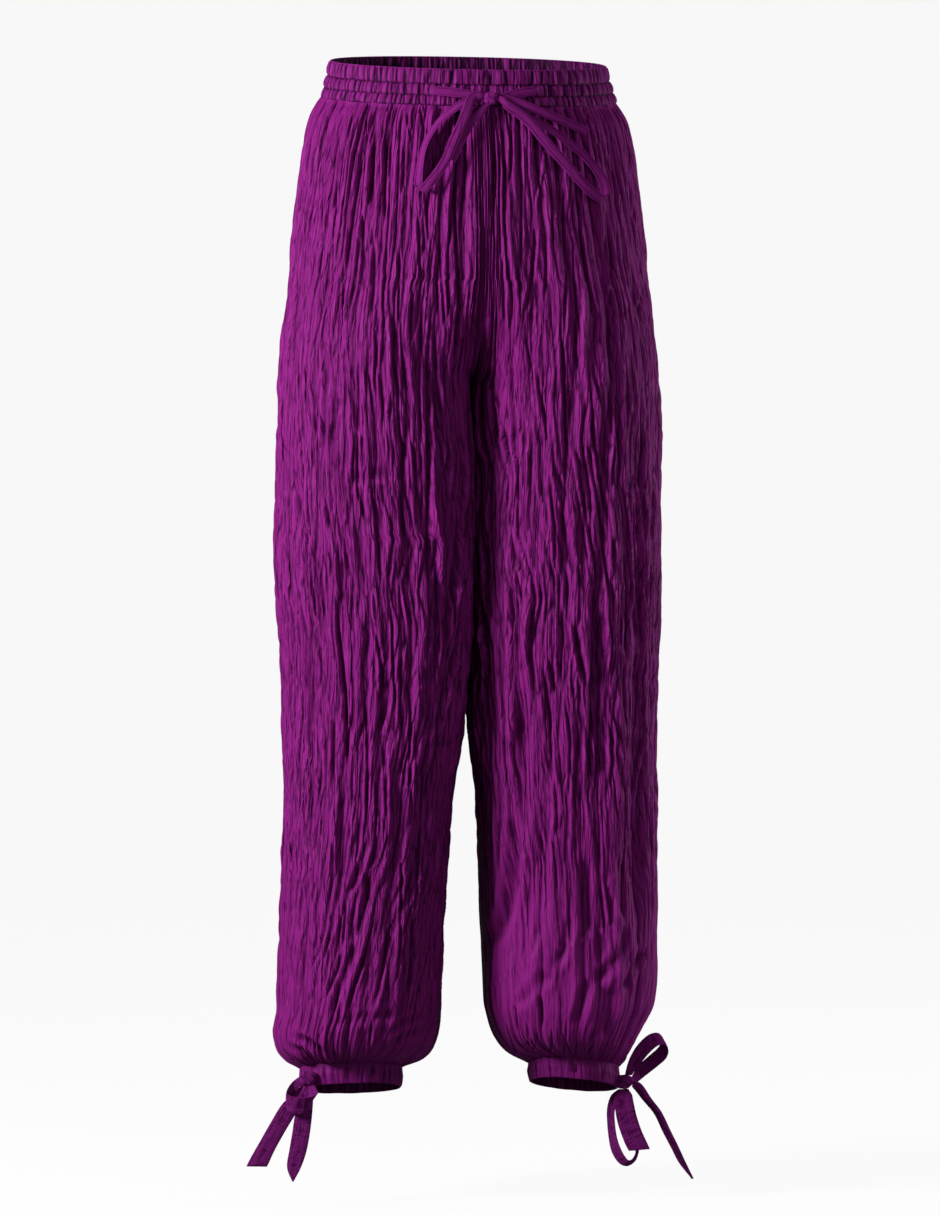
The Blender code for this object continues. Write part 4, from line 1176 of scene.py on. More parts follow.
def with_allowance(points, base, normal, place, height):
    """Add the cloth turned in along a panel's side seams and its top seam, so that no light comes through."""
    past = base[:, [0, -1]] - base[:, [1, -2]]
    past /= np.linalg.norm(past, axis=2, keepdims=True)
    turned = points[:, [0, -1]] + past * SEAM_LAP - normal[:, [0, -1]] * SEAM_ALLOWANCE
    points = np.concatenate([turned[:, :1], points, turned[:, 1:]], axis=1)
    top = base[:1] - normal[:1] * TOP_INSET
    top = np.concatenate([top[:, :1], top, top[:, -1:]], axis=1) + np.array([0.0, 0.0, TOP_LAP])
    points = np.concatenate([top, points], axis=0)
    place = np.concatenate([place[:, :1] - SEAM_ALLOWANCE, place, place[:, -1:] + SEAM_ALLOWANCE], axis=1)
    place = np.concatenate([place[:1], place], axis=0)
    return points, place, np.pad(height, ((1, 0), (1, 1)), mode="edge")


def grid_faces(rows, columns, joined=False):
    """The four-sided faces of a grid of points, numbered along its rows, and joined up round its side."""
    numbers = np.arange(rows * columns).reshape(rows, columns)
    if joined:
        numbers = np.concatenate([numbers, numbers[:, :1]], axis=1)
    corners = [numbers[:-1, :-1], numbers[1:, :-1], numbers[1:, 1:], numbers[:-1, 1:]]
    return np.stack([corner.ravel() for corner in corners], axis=1)


def surface(name, points, places, look, hollow, closed=False):
    """A sheet of cloth from a grid of points, with its places on the cloth as its map."""
    faces = grid_faces(*points.shape[:2], closed)
    if closed:
        places = np.concatenate([places, 2.0 * places[:, -1:] - places[:, -2:-1]], axis=1)
    spots = places.reshape(-1, 2)[grid_faces(*places.shape[:2])]
    flat = points.reshape(-1, 3)
    first = flat[faces[:, 0]]
    normal = np.cross(flat[faces[:, 1]] - first, flat[faces[:, 3]] - first)
    if (normal * (first - flat.mean(axis=0))).sum() < 0.0:
        faces, spots = faces[:, ::-1], spots[:, ::-1]
    made = mesh_object(name, flat, faces, look)
    layer = made.data.uv_layers.new(name="cloth")
    layer.data.foreach_set("uv", (spots * METRE).astype(np.float32).ravel())
    # The hollow values are painted shade and painted highlight, which the material reads
    spread(made, "hollow", hollow)
    return made


def spread(piece, name, values):
    """Give each point of a piece a value, for its material."""
    attribute = piece.data.attributes.new(name, "FLOAT", "POINT")
    attribute.data.foreach_set("value", values.astype(np.float32).ravel())


def mesh_object(name, points, faces, look):
    """A smooth mesh of four-sided faces."""
    mesh = bpy.data.meshes.new(name)
    mesh.vertices.add(len(points))
    mesh.vertices.foreach_set("co", (points * METRE).astype(np.float32).ravel())
    mesh.loops.add(4 * len(faces))
    mesh.loops.foreach_set("vertex_index", np.ascontiguousarray(faces).astype(np.int32).ravel())
    mesh.polygons.add(len(faces))
    mesh.polygons.foreach_set("loop_start", np.arange(0, 4 * len(faces), 4, dtype=np.int32))
    mesh.update(calc_edges=True)
    mesh.shade_smooth()
    mesh.materials.append(look)
    made = bpy.data.objects.new(name, mesh)
    bpy.context.scene.collection.objects.link(made)
    return made


def attach(piece, slot, *nodes):
    """Give a piece its body, and hide the nodes of the frame that it takes the place of. The slot is not
    used.
    """
    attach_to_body(piece, BODY)
    if nodes:
        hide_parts(*nodes)


class Nodes:
    """Short ways to add shader nodes to one material."""

    def __init__(self, name):
        self.look = bpy.data.materials.new(name)
        self.look.use_nodes = True
        self.tree = self.look.node_tree
        self.shader = self.tree.nodes["Principled BSDF"]

    def add(self, kind, values=(), **settings):
        node = self.tree.nodes.new(kind)
        for key, value in settings.items():
            setattr(node, key, value)
        for key, value in dict(values).items():
            node.inputs[key].default_value = value
        return node

    def join(self, out, into):
        self.tree.links.new(out, into)

    def stretched(self, coordinates, scale, detail=2.0, roughness=0.5):
        """Noise stretched by a scale in each direction."""
        mapping = self.add("ShaderNodeMapping", {"Scale": scale})
        made = self.add("ShaderNodeTexNoise", {"Scale": 1.0, "Detail": detail, "Roughness": roughness})
        self.join(coordinates, mapping.inputs["Vector"])
        self.join(mapping.outputs["Vector"], made.inputs["Vector"])
        return made.outputs["Fac"]

    def facets(self, coordinates, scale):
        """Long flat facets: their tilted height in facet widths, and 0 at their edges to 1 inside."""
        mapping = self.add("ShaderNodeMapping", {"Scale": scale})
        self.join(coordinates, mapping.inputs["Vector"])
        cells = self.add("ShaderNodeTexVoronoi", {"Scale": 1.0}, voronoi_dimensions="2D", feature="F1")
        edges = self.add("ShaderNodeTexVoronoi", {"Scale": 1.0}, voronoi_dimensions="2D")
        edges.feature = "DISTANCE_TO_EDGE"
        offset = self.add("ShaderNodeVectorMath", operation="SUBTRACT")
        for into in (cells.inputs["Vector"], edges.inputs["Vector"], offset.inputs[0]):
            self.join(mapping.outputs["Vector"], into)
        self.join(cells.outputs["Position"], offset.inputs[1])
        across = self.add("ShaderNodeSeparateXYZ")
        chance = self.add("ShaderNodeSeparateColor")
        self.join(offset.outputs["Vector"], across.inputs["Vector"])
        self.join(cells.outputs["Color"], chance.inputs["Color"])
        slope = self.maths("MULTIPLY_ADD", chance.outputs["Red"], 2.0, -1.0)
        edge = self.maths("MINIMUM", self.maths("DIVIDE", edges.outputs["Distance"], FACET_EDGE), 1.0)
        tilted = self.maths("MULTIPLY", self.maths("MULTIPLY", across.outputs["X"], slope), edge)
        return self.maths("MULTIPLY_ADD", edge, FACET_NOTCH, tilted), edge

    def maths(self, operation, first, second=0.0, third=0.0):
        node = self.add("ShaderNodeMath", operation=operation)
        for number, value in enumerate((first, second, third)):
            if isinstance(value, (int, float)):
                node.inputs[number].default_value = value
            else:
                self.join(value, node.inputs[number])
        return node.outputs[0]


def cloth_material(name, fading=False):
    """Crinkled silky cloth. Fine crinkles and threads are bump, on the cloth's own map. The colour varies at
    random in patches, with painted shade in the troughs and along the facets' creases, and painted highlight
    on the ridges."""
    trough, colour, light, bump, lines, shine = LOOKS[name]
    made = Nodes(name)
    shader = made.shader
    shader.inputs["Roughness"].default_value = ROUGHNESS
    shader.inputs["Specular IOR Level"].default_value = shine
    shader.inputs["Sheen Weight"].default_value = SHEEN
    shader.inputs["Sheen Roughness"].default_value = SHEEN_ROUGHNESS
    shader.inputs["Sheen Tint"].default_value = SHEEN_TINT
    place = made.add("ShaderNodeUVMap", uv_map="cloth").outputs["UV"]
    bent = made.add("ShaderNodeVectorMath", operation="MULTIPLY_ADD")
    made.join(made.stretched(place, WAVES, 2.0, 0.5), bent.inputs[0])
    bent.inputs[1].default_value = WAVE_SHIFT
    made.join(place, bent.inputs[2])
    crisp = made.add("ShaderNodeAttribute", attribute_name="crisp").outputs["Fac"] if fading else 1.0
    tilted, edge = made.facets(bent.outputs["Vector"], FACET_SCALE)
    small_tilted, small_edge = made.facets(bent.outputs["Vector"], SMALL_FACET_SCALE)
    fine = made.maths("ADD", tilted, made.maths("MULTIPLY", small_tilted, SMALL_FACET_SHARE))
    crease_bump = made.add("ShaderNodeBump", {"Strength": FACET_BUMP * bump, "Distance": FACET_HEIGHT})
    made.join(made.maths("MULTIPLY", fine, crisp), crease_bump.inputs["Height"])
    thread_bump = made.add("ShaderNodeBump", {"Strength": THREAD_BUMP * bump, "Distance": THREAD_HEIGHT})
    made.join(made.stretched(place, THREADS, 2.0, 0.6), thread_bump.inputs["Height"])
    made.join(crease_bump.outputs["Normal"], thread_bump.inputs["Normal"])
    made.join(thread_bump.outputs["Normal"], shader.inputs["Normal"])
    # The hollow attribute sets each point's place on the ramp from the painted shade of the troughs to the
    # painted highlight of the ridges
    hollow = made.add("ShaderNodeAttribute", attribute_name="hollow").outputs["Fac"]
    patches = made.stretched(place, PATCHES, 3.0, 0.55)
    uneven = made.maths("MULTIPLY", made.maths("SUBTRACT", patches, 0.5), DYE_UNEVENNESS)
    ramp = made.add("ShaderNodeValToRGB")
    ends = ramp.color_ramp.elements
    ends[0].color = (*trough, 1.0)
    ends[1].color = (*light, 1.0)
    ends.new(HALF_PAINTED_SHADE).color = (*((deep + own) / 2.0 for deep, own in zip(trough, colour)), 1.0)
    ends.new(NO_PAINTED_SHADE).color = (*colour, 1.0)
    # Painted shade along the creases between the fine facets
    line = made.maths("MULTIPLY", made.maths("SUBTRACT", edge, 1.0), LINE_SHADE * lines)
    small_line = made.maths("MULTIPLY", made.maths("SUBTRACT", small_edge, 1.0), SMALL_LINE_SHADE * lines)
    line = made.maths("MULTIPLY", made.maths("ADD", line, small_line), crisp)
    share = made.maths("ADD", made.maths("MULTIPLY_ADD", hollow, 0.5, 0.5), uneven)
    made.join(made.maths("ADD", share, line), ramp.inputs["Fac"])
    made.join(ramp.outputs["Color"], shader.inputs["Base Color"])
    return made.look


def leg_panels():
    """The four crinkled leg panels, front ones first."""
    look = cloth_material("crinkled_cloth", fading=True)
    panels = [(side_name, part) for part in ("front", "back") for side_name in ("right", "left")]
    for number, (side_name, part) in enumerate(panels):
        node = f"{side_name}_{part}_leg"
        points, place, height = panel_points(side_name, part, PANEL_SEED + 40 * number)
        z = points[:, :, 2]
        down = np.linspace(0.0, PANEL_LENGTH, len(points))[:, None] + 0.0 * place
        places = np.stack([place + PANEL_ROOM * number, -down], axis=2)
        # Painted shade in the troughs, and more painted shade on the legs' inner sides where they nearly
        # touch
        painted_shade_between_legs = toward_inseam(place) * ease((INNER_PAINTED_SHADE_TOP - z) / INNER_PAINTED_SHADE_FADE)
        hollow = cavity(height) - INNER_PAINTED_SHADE * painted_shade_between_legs
        piece = surface(node + "_cloth", points, places, look, hollow)
        spread(piece, "crisp", from_table(CRINKLES[side_name], z, 3) / FULLY_CRISP)
        attach(piece, "cloth", node)


def outward(line):
    """Level unit normals of a closed line of points that runs round by the front, then the left side."""
    along = np.roll(line, -1, axis=0) - np.roll(line, 1, axis=0)
    normal = np.stack([along[:, 1], -along[:, 0], np.zeros(len(line))], axis=1)
    return normal / np.linalg.norm(normal, axis=1, keepdims=True)


def closed_ring(row, count):
    """A whole outline, as one tube, in even steps."""
    line = outline((*row, OUTER_SQUARENESS))
    return at_lengths(line, np.arange(count) / count * lengths_along(line)[-1])


def gathers(around, length, down, sizes, seed):
    """The height of small gathers, from 0 in a groove to their full height, joined up at the back."""
    turned = (around + length / 4.0) % length
    share = ease((turned - length + JOIN) / JOIN)
    total = 0.0
    for number, (pitch, height) in enumerate(sizes):
        low, high = (
            pleats(spot / pitch, down / GATHER_LENGTH, seed + 5 * number, GATHER_TILT, GATHER_NOTCH)
            for spot in (turned, turned - length)
        )
        total = total + height * (low * (1.0 - share) + high * share)
    return total


def channel_at(z, fullness):
    """Which stitched channel a height is in, and how loose the cloth is there, from 0 at its lines to 1."""
    channel = min(int(np.searchsorted(BAND_STITCH_LINES, z, side="right")), len(BAND_STITCH_LINES) - 1) - 1
    low, high = BAND_STITCH_LINES[channel : channel + 2]
    share = (z - low) / (high - low)
    return channel, math.sin(math.pi * min(max(share, 0.0), 1.0)) ** fullness


def band_path():
    """The band's section: z, how far out, how loose the gathers are, which way it faces, and its channel."""
    low, high = BAND_STITCH_LINES[0], BAND_STITCH_LINES[-1]
    rows = []
    for z in np.linspace(low, high, BAND_OUTER_ROWS):
        channel, loose = channel_at(z, OUTER_FULLNESS)
        out = BAND_OUT + BAND_PUFF * loose
        rows.append((z, out, OUTER_SHARES[0] + OUTER_SHARES[1] * loose, 1.0, channel))
    thick = BAND_WALL / 2.0
    for step in range(1, BAND_TURN_ROWS + 1):
        turn = math.pi * step / (BAND_TURN_ROWS + 1)
        out = BAND_OUT - thick + thick * math.cos(turn)
        rows.append((high + EDGE_HEIGHT * thick * math.sin(turn), out, EDGE_SHARE, math.cos(turn), channel))
    for z in np.linspace(high, low, BAND_INNER_ROWS):
        channel, loose = channel_at(z, INNER_FULLNESS)
        out = -BAND_WALL - BAND_INNER_PUFF * loose
        rows.append((z, out, INNER_SHARES[0] + INNER_SHARES[1] * loose, -1.0, channel))
    return rows


def band_ring(z):
    table = np.asarray(BAND_ROWS)
    half_width, front, back, tilt = (np.interp(z, table[:, 0], table[:, column]) for column in (1, 2, 3, 4))
    return closed_ring((z, half_width, -half_width, front, back, tilt, 0.0), BAND_COLUMNS)


def waistband(look):
    """The gathered band with its three stitched channels, outer side, top edge and inner side."""
    middle = band_ring(0.0)
    length = lengths_along(np.concatenate([middle, middle[:1]]))[-1]
    around = np.arange(BAND_COLUMNS) / BAND_COLUMNS * length
    full = sum(height for pitch, height in BAND_GATHERS)
    path = band_path()
    points, places, heights = [], [], []
    down = 0.0
    for number, (z, out, loose, facing, channel) in enumerate(path):
        ring = band_ring(z)
        slant = GATHER_SLANT * noise(around / SLANT_PITCH, np.full(BAND_COLUMNS, 0.3 + channel), 31)
        shifted = around + slant * (z - BAND_STITCH_LINES[channel])
        level = np.full(BAND_COLUMNS, z + CHANNEL_SHIFT * channel)
        relief = gathers(shifted, length, level, BAND_GATHERS, BAND_SEEDS[int(facing < 0.0)])
        height = loose * (relief - BAND_LEVEL * full)
        points.append(ring + outward(ring) * (out + facing * height)[:, None])
        heights.append(height)
        if number:
            down += math.hypot(z - path[number - 1][0], out - path[number - 1][1])
        places.append(np.stack([around, np.full(BAND_COLUMNS, down)], axis=1))
    z, facing = np.array(path + path[:1])[:, [0, 3]].T
    # Painted highlight on the band's top edge, and painted shade on its inner side and along its stitch lines
    shade = np.where(np.abs(facing) < 0.99, EDGE_PAINTED_HIGHLIGHT, 0.0) - np.where(facing < -0.5, INSIDE_PAINTED_SHADE, 0.0)
    for line in BAND_STITCH_LINES[:3]:
        shade -= STITCH_SHADE * np.exp(-(((z - line) / STITCH_SHADE_WIDTH) ** 2))
    piece = band_piece("waistband", points, places, heights, shade, BAND_CAVITY, look)


def band_piece(node, points, places, heights, shade, darkest, look):
    """Close a band's section and make its piece, with painted shade in the grooves between its gathers."""
    heights = np.asarray(heights + heights[:1])
    places = np.asarray(places + [places[-1] + np.array([0.0, BAND_WALL])])
    hollow = np.maximum(BAND_CAVITY * cavity(heights), -darkest) + shade[:, None]
    points = np.asarray(points + points[:1])
    piece = surface(node + "_cloth", points, places, look, hollow, closed=True)
    attach(piece, "band", node)
    return piece


def cuff_section():
    """The cuff's section: how far below its top, how far out, and which share of the gathers it has. It
    starts and ends with the seam allowance, inside the leg."""
    high, low = CUFF_RINGS[0][0], CUFF_RINGS[-1][0]
    top, last = ((-CUFF_ALLOWANCE, -inset * BAND_WALL, CUFF_TOP_SHARE) for inset in CUFF_TOP_INSETS)
    section = [top]
    section += [(below, 0.0, 1.0) for below in np.linspace(high, low, CUFF_ROWS)]
    for turn in (0.25 * math.pi, 0.5 * math.pi, 0.75 * math.pi):
        out = -BAND_WALL * (1.0 - math.cos(turn)) / 2.0
        section.append((low + CUFF_ROLL * math.sin(turn), out, CUFF_ROLL_SHARE))
    section += [(below, -BAND_WALL, -CUFF_INNER_SHARE) for below in np.linspace(low, high, CUFF_INNER_ROWS)]
    return section + [last]


def cuffs(look):
    """The two ankle bands, gathered round and turned in at the top."""
    section = cuff_section()
    below_at, wider_at = np.asarray(CUFF_RINGS).T
    around = np.arange(CUFF_COLUMNS) / CUFF_COLUMNS * CUFF_LENGTH
    full = sum(height for pitch, height in CUFF_GATHERS)
    # Painted shade on the cuff's inner side
    shade = np.array([0.0 if share > 0.0 else -INSIDE_PAINTED_SHADE for below, out, share in section + section[:1]])
    for side_name, (side, table) in SIDES.items():
        z, outer_reach, inner_reach, front, back, tilt, roll = table[-1][:7]
        points, places, heights = [], [], []
        for number, (below, out, share) in enumerate(section):
            wider = np.interp(below, below_at, wider_at)
            reaches = (outer_reach + wider, inner_reach - wider, front - wider, back + wider)
            ring = closed_ring((z - below, *reaches, tilt, roll), CUFF_COLUMNS) * np.array([side, 1.0, 1.0])
            level = np.full(CUFF_COLUMNS, below * 1.3)
            relief = gathers(around, CUFF_LENGTH, level, CUFF_GATHERS, CUFF_SEEDS[side_name])
            soft = CUFF_SWELL * noise(around / 24.0, np.full(CUFF_COLUMNS, below / 16.0), 861)
            down = below / below_at[-1]
            free = 0.4 + 0.6 * math.sin(math.pi * min(1.0, max(0.0, down)))
            height = (relief - CUFF_LEVEL * full + soft) * free
            ring[:, 2] += CUFF_WAVE * down * noise(around / 17.0, np.full(CUFF_COLUMNS, 0.5), 871)
            points.append(ring + outward(ring) * side * (out + share * height)[:, None])
            places.append(np.stack([around, np.full(CUFF_COLUMNS, 1.0 * number)], axis=1))
            heights.append(height)
        piece = band_piece(side_name + "_cuff", points, places, heights, shade, CUFF_DARKEST, look)


def front_of(x, z):
    """The depth of the hips' front surface at x and z."""
    table = np.asarray(HIP_ROWS, float)
    place = np.interp(-z, -table[:, 0], np.arange(len(table)))
    row = through(table, [place], steady_slopes(table))[0]
    outer, front, back = row[1], row[3], row[4]
    across = (1.0 - abs(x / outer) ** OUTER_SQUARENESS) ** (1.0 / OUTER_SQUARENESS)
    return (front + back) / 2.0 - across * (back - front) / 2.0


def ribbon_line(rows):
    """A ribbon's middle, its directions across and out of its face, and its width, at even steps."""
    rows = np.asarray(rows, float)
    lean, swing = np.radians(rows[:, 4]), np.radians(rows[:, 5])
    across = np.stack([np.cos(lean) * np.cos(swing), -np.sin(swing), np.sin(lean) * np.cos(swing)], axis=1)
    for number in range(1, len(across)):
        if across[number] @ across[number - 1] < 0.0:
            across[number] *= -1.0
    table = np.concatenate([rows[:, :4], across], axis=1)
    places = np.linspace(0.0, len(rows) - 1.0, RIBBON_DETAIL * len(rows))
    fine = through(table, places, np.gradient(table, axis=0))
    along = lengths_along(fine[:, :3])
    wanted = np.linspace(0.0, along[-1], int(along[-1] / RIBBON_STEP) + 1)
    line = np.stack([np.interp(wanted, along, fine[:, column]) for column in range(7)], axis=1)
    centre, width, across = line[:, :3], line[:, 3], line[:, 4:]
    across /= np.linalg.norm(across, axis=1, keepdims=True)
    face = np.cross(np.gradient(centre, axis=0), across)
    face /= np.linalg.norm(face, axis=1, keepdims=True)
    return centre, across, face, width, wanted


def ribbon(name, rows, thick, look, relief, contrast):
    """A flat ribbon with rounded edges. relief gives its height at shares across and lengths along."""
    centre, across, face, width, along = ribbon_line(rows)
    share = np.cos(np.linspace(math.pi, 0.0, RIBBON_COLUMNS))
    edge = np.sqrt(np.clip(1.0 - share**4, 0.0, 1.0))
    loop_share = np.concatenate([share, share[-2:0:-1]])
    loop_side = np.concatenate([edge, -edge[-2:0:-1]])
    points, places, heights = [], [], []
    for number in range(len(centre)):
        height = relief(loop_share, np.full(len(loop_share), along[number]), np.sign(loop_side))
        lift = loop_side * (thick / 2.0 + height * np.abs(loop_side))
        aside = loop_share * width[number] / 2.0
        points.append(centre[number] + across[number] * aside[:, None] + face[number] * lift[:, None])
        at = np.cumsum(np.abs(np.diff(loop_share, prepend=-1.0))) * width[number] / 2.0
        places.append(np.stack([at, np.full(len(at), along[number])], axis=1))
        heights.append(height)
    points, places, heights = np.asarray(points), np.asarray(places), np.asarray(heights)
    # The ribbon's relief, strengthened, is painted on as shade in its dips and highlight on its rises
    piece = surface(name, points, places, look, cavity(heights * contrast), closed=True)
    close_ends(piece, len(loop_share))
    return piece, centre


def close_ends(piece, count):
    """Fill the two open ends of a tube whose rings have this many points."""
    mesh = bmesh.new()
    mesh.from_mesh(piece.data)
    mesh.verts.ensure_lookup_table()
    total = len(mesh.verts)
    for first in (0, total - count):
        mesh.faces.new([mesh.verts[first + number] for number in range(count)])
    bmesh.ops.recalc_face_normals(mesh, faces=mesh.faces)
    mesh.to_mesh(piece.data)
    mesh.free()
    piece.data.shade_smooth()


def string_relief(share, along, side):
    """A flat drawstring: two stitched lines near its edges, and soft ripples."""
    stitched = np.exp(-(((np.abs(share) - EDGE_STITCH_SHARE) / STITCH_DIP_WIDTH) ** 2))
    ripple = noise(along / 9.0, share * 0.8 + 3.0 * side, 41)
    return STRING_RIPPLE * ripple - STITCH_DIP * stitched


def tie_relief(share, along, side):
    """An ankle tie: short puckers across it, of uneven length, and a soft hollow down the middle."""
    wander = along + 1.6 * noise(along / 14.0, share * 0.9 + 4.0 * side, 51)
    pucker = pleats(wander / TIE_PITCH, share * 0.55 + 5.0 * side, 53, 0.8, 0.2)
    strength = np.clip(0.7 + 1.1 * noise(along / 11.0, share * 1.1 + 2.0 * side, 55), 0.15, 1.3)
    edge = np.exp(-(((np.abs(share) - TIE_EDGE_SHARE) / EDGE_DIP_WIDTH) ** 2))
    swell = noise(along / 22.0, share + 7.0 * side, 57)
    return TIE_PUCKER * strength * (pucker - PLEAT_LEVEL) - TIE_EDGE_DIP * edge + TIE_SWELL * swell


def edge_lines(rows, thick):
    """Two lines on each face of a ribbon, near its edges, where it is stitched."""
    centre, across, face, width, along = ribbon_line(rows)
    lines = []
    for side in (-1.0, 1.0):
        for edge in (-EDGE_STITCH_SHARE, EDGE_STITCH_SHARE):
            offset = across * (width * edge / 2.0)[:, None]
            lines.append((centre + offset + face * side * (thick / 2.0 - STITCH_SINK), face * side))
    return lines


def placed_string(name):
    """A string's rows, with the depth measured from the hips' front surface."""
    return [(row[0], front_of(row[0], row[2]) - row[1], *row[2:]) for row in STRINGS[name]]


def drawstring(look, thread_look):
    x, out, z = STRING_KNOT
    lines = []
    knot_piece = knot("drawstring_knot_cloth", (x, front_of(x, z) - out, z), STRING_KNOT_RADII, look, 61)
    attach(knot_piece, "tie", "drawstring_knot")
    for name, parts in STRING_ROUTES.items():
        rows = [row for part in parts for row in placed_string(part)]
        piece, centre = ribbon(name, rows, STRING_THICK, look, string_relief, STRING_CONTRAST)
        attach(piece, "tie", *parts)
        lines += edge_lines(rows, STRING_THICK)
    attach(stitches("drawstring_stitches", lines, thread_look), "tie")


def ankle_ties(look):
    for name, centre in TIE_KNOTS.items():
        piece = knot(name + "_cloth", centre, TIE_KNOT_RADII, look, 71)
        attach(piece, "tie", name)
    for name, rows in TIES.items():
        piece, centre = ribbon(name + "_cloth", rows, TIE_THICK, look, tie_relief, TIE_CONTRAST)
        attach(piece, "tie", name)


def knot(name, centre, radii, look, seed):
    """The wrap of ribbon that holds a bow: a squared ball with the ribbon's edges and small creases."""
    rise = np.linspace(-math.pi / 2.0, math.pi / 2.0, KNOT_ROWS)[:, None]
    turn = np.linspace(0.0, 2.0 * math.pi, KNOT_COLUMNS, endpoint=False)[None, :]
    level = squared(np.clip(np.cos(rise), 0.0, 1.0), KNOT_SQUARENESS)
    x = level * squared(np.cos(turn), KNOT_SQUARENESS)
    y = level * squared(np.sin(turn), KNOT_SQUARENESS)
    height = squared(np.sin(rise), KNOT_SQUARENESS) + 0.0 * turn
    unit = np.stack([x, y, height], axis=2)
    crease = pleats(x * 1.6 + 0.5 * height, height * 0.8, seed, 0.5, 0.14) - PLEAT_LEVEL
    edge = np.exp(-(((np.abs(x) - KNOT_EDGE_SHARE) / EDGE_DIP_WIDTH) ** 2))
    uneven = noise(x * 1.5 + 8.0, height * 1.5 + y, seed + 9)
    swell = 1.0 + KNOT_CREASE * crease - KNOT_EDGE_DIP * edge + KNOT_UNEVEN * uneven
    points = unit * swell[:, :, None] * np.asarray(radii) + np.asarray(centre)
    places = np.stack([x * radii[0] + 0.0 * height, height * radii[2] * 1.5], axis=2)
    # The creases' depth is painted on as shade in them and highlight between them
    return surface(name, points, places, look, crease, closed=True)


def stitches(name, lines, look):
    """Rows of sewn stitches. Each line is a row of points with the normals of the cloth there."""
    points, faces = [], []
    columns = len(STITCH_SECTION)
    for ring, normals in lines:
        along = lengths_along(ring)
        count = int(along[-1] / STITCH_PITCH)
        for spot in (np.arange(count) + 0.5) / count * along[-1]:
            ends = at_lengths(ring, np.array([spot - STITCH_STEP, spot, spot + STITCH_STEP]) % along[-1])
            ahead = ends[2] - ends[0]
            # No stitch where the step leads from one end of an open line to the other
            if np.linalg.norm(ahead) > 4.0 * STITCH_STEP:
                continue
            ahead /= np.linalg.norm(ahead)
            nearest = int(np.searchsorted(along, spot)) % len(normals)
            up = normals[nearest] - ahead * (normals[nearest] @ ahead)
            up /= np.linalg.norm(up)
            aside = np.cross(ahead, up)
            first = len(points)
            for place, taper in STITCH_STATIONS:
                for wide, high in STITCH_SECTION:
                    points.append(
                        ends[1]
                        + ahead * place * STITCH_LENGTH / 2.0
                        + aside * wide * taper * STITCH_WIDTH / 2.0
                        + up * high * taper * STITCH_HEIGHT
                    )
            for station in range(len(STITCH_STATIONS) - 1):
                for low in range(first + columns * station, first + columns * (station + 1) - 1):
                    faces.append((low + columns, low + columns + 1, low + 1, low))
    return mesh_object(name, np.asarray(points), np.asarray(faces), look)


def band_stitches(look):
    lines = []
    for z in BAND_STITCH_LINES[1:3]:
        ring = band_ring(z)
        normal = outward(ring)
        ring, normal = np.concatenate([ring, ring[:1]]), np.concatenate([normal, normal[:1]])
        lines.append((ring + normal * OUTER_LIFT, normal))
        lines.append((ring - normal * (BAND_WALL + INNER_LIFT), -normal))
    attach(stitches("waistband_stitches", lines, look), "band")


def lights():
    for name, place, aim, size, power in LAMPS:
        lamp = bpy.data.lights.new(name, "AREA")
        lamp.shape = "RECTANGLE"
        lamp.size, lamp.size_y = size
        lamp.energy = power
        made = bpy.data.objects.new(name, lamp)
        bpy.context.scene.collection.objects.link(made)
        made.visible_camera = False
        made.location = place
        made.rotation_euler = (Vector(aim) - Vector(place)).to_track_quat("-Z", "Y").to_euler()
    world = bpy.data.worlds.new("studio")
    world.use_nodes = True
    sky = world.node_tree.nodes["Background"].inputs
    sky["Color"].default_value = WHITE
    sky["Strength"].default_value = WORLD_LIGHT
    bpy.context.scene.world = world
    bpy.context.scene.view_settings.view_transform = "Standard"
    bpy.context.scene.view_settings.look = "None"


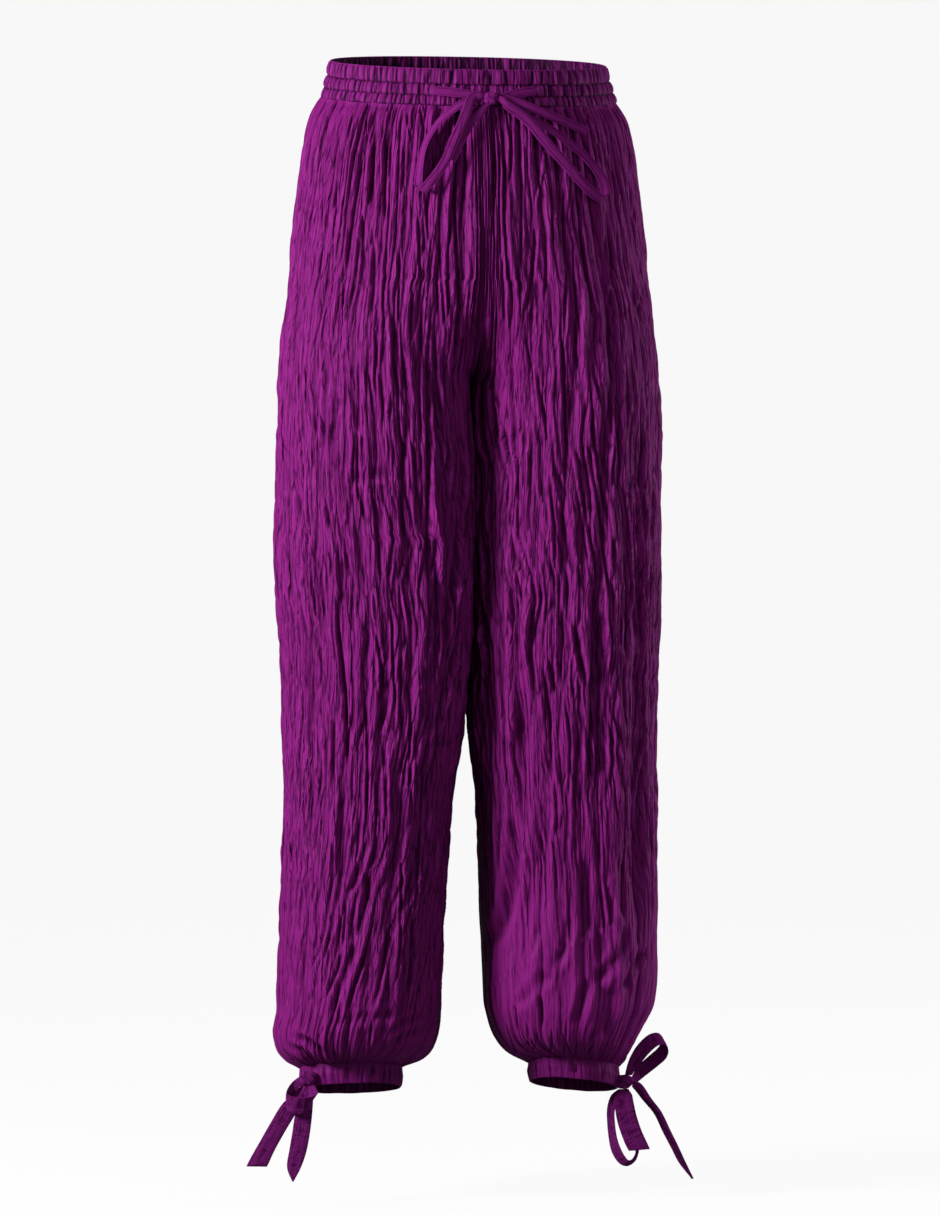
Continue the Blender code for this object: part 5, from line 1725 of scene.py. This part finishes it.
def camera():
    turn = math.radians(CAMERA_TURN)
    ahead = Vector((math.sin(turn), math.cos(turn), 0.0))
    aside = Vector((math.cos(turn), -math.sin(turn), 0.0))
    lens = bpy.data.cameras.new("camera")
    made = bpy.data.objects.new("camera", lens)
    bpy.context.scene.collection.objects.link(made)
    place = aside * CAMERA_ASIDE - ahead * CAMERA_DISTANCE + Vector((0.0, 0.0, CAMERA_Z))
    made.location = place * METRE
    made.rotation_euler = (math.radians(90.0), 0.0, -turn)
    lens.sensor_width = SENSOR
    lens.lens = SENSOR * CAMERA_DISTANCE / VIEW_HEIGHT
    lens.clip_end = 100.0
    bpy.context.scene.camera = made


def stage():
    """A round pale floor that curves up into a backdrop on all sides."""
    made = Nodes("floor_paint")
    made.shader.inputs["Roughness"].default_value = FLOOR_ROUGHNESS
    made.shader.inputs["Base Color"].default_value = FLOOR_COLOUR
    made.shader.inputs["Emission Color"].default_value = WHITE
    made.shader.inputs["Emission Strength"].default_value = FLOOR_GLOW
    profile = [(0.0, FLOOR_Z), (FLOOR_REACH, FLOOR_Z)]
    for turn in np.radians(np.linspace(0.0, 90.0, FLOOR_BEND_STEPS + 1)[1:]):
        reach = FLOOR_REACH + FLOOR_BEND * math.sin(turn)
        profile.append((reach, FLOOR_Z + FLOOR_BEND * (1.0 - math.cos(turn))))
    profile.append((profile[-1][0], BACKDROP_TOP))
    turns = np.linspace(0.0, 2.0 * math.pi, FLOOR_SIDES + 1)
    reach, z = np.array(profile).T[:, :, None]
    grid = np.stack([reach * np.cos(turns), reach * np.sin(turns), z + 0.0 * turns], axis=2)
    floor = mesh_object("floor", grid.reshape(-1, 3), grid_faces(*grid.shape[:2])[:, ::-1], made.look)
    # The floor is seen, and shadows fall on it, but it throws no light back on the cloth
    floor.visible_diffuse = False
    floor.visible_glossy = False
    floor.visible_shadow = False


def main():
    camera()
    lights()
    stage()
    band_look, string_look = cloth_material("waistband_cloth"), cloth_material("drawstring_cloth")
    tie_look, thread_look = cloth_material("tie_cloth"), cloth_material("thread")
    drawstring(string_look, thread_look)
    leg_panels()
    waistband(band_look)
    band_stitches(thread_look)
    cuffs(cloth_material("cuff_cloth"))
    ankle_ties(tie_look)


main()
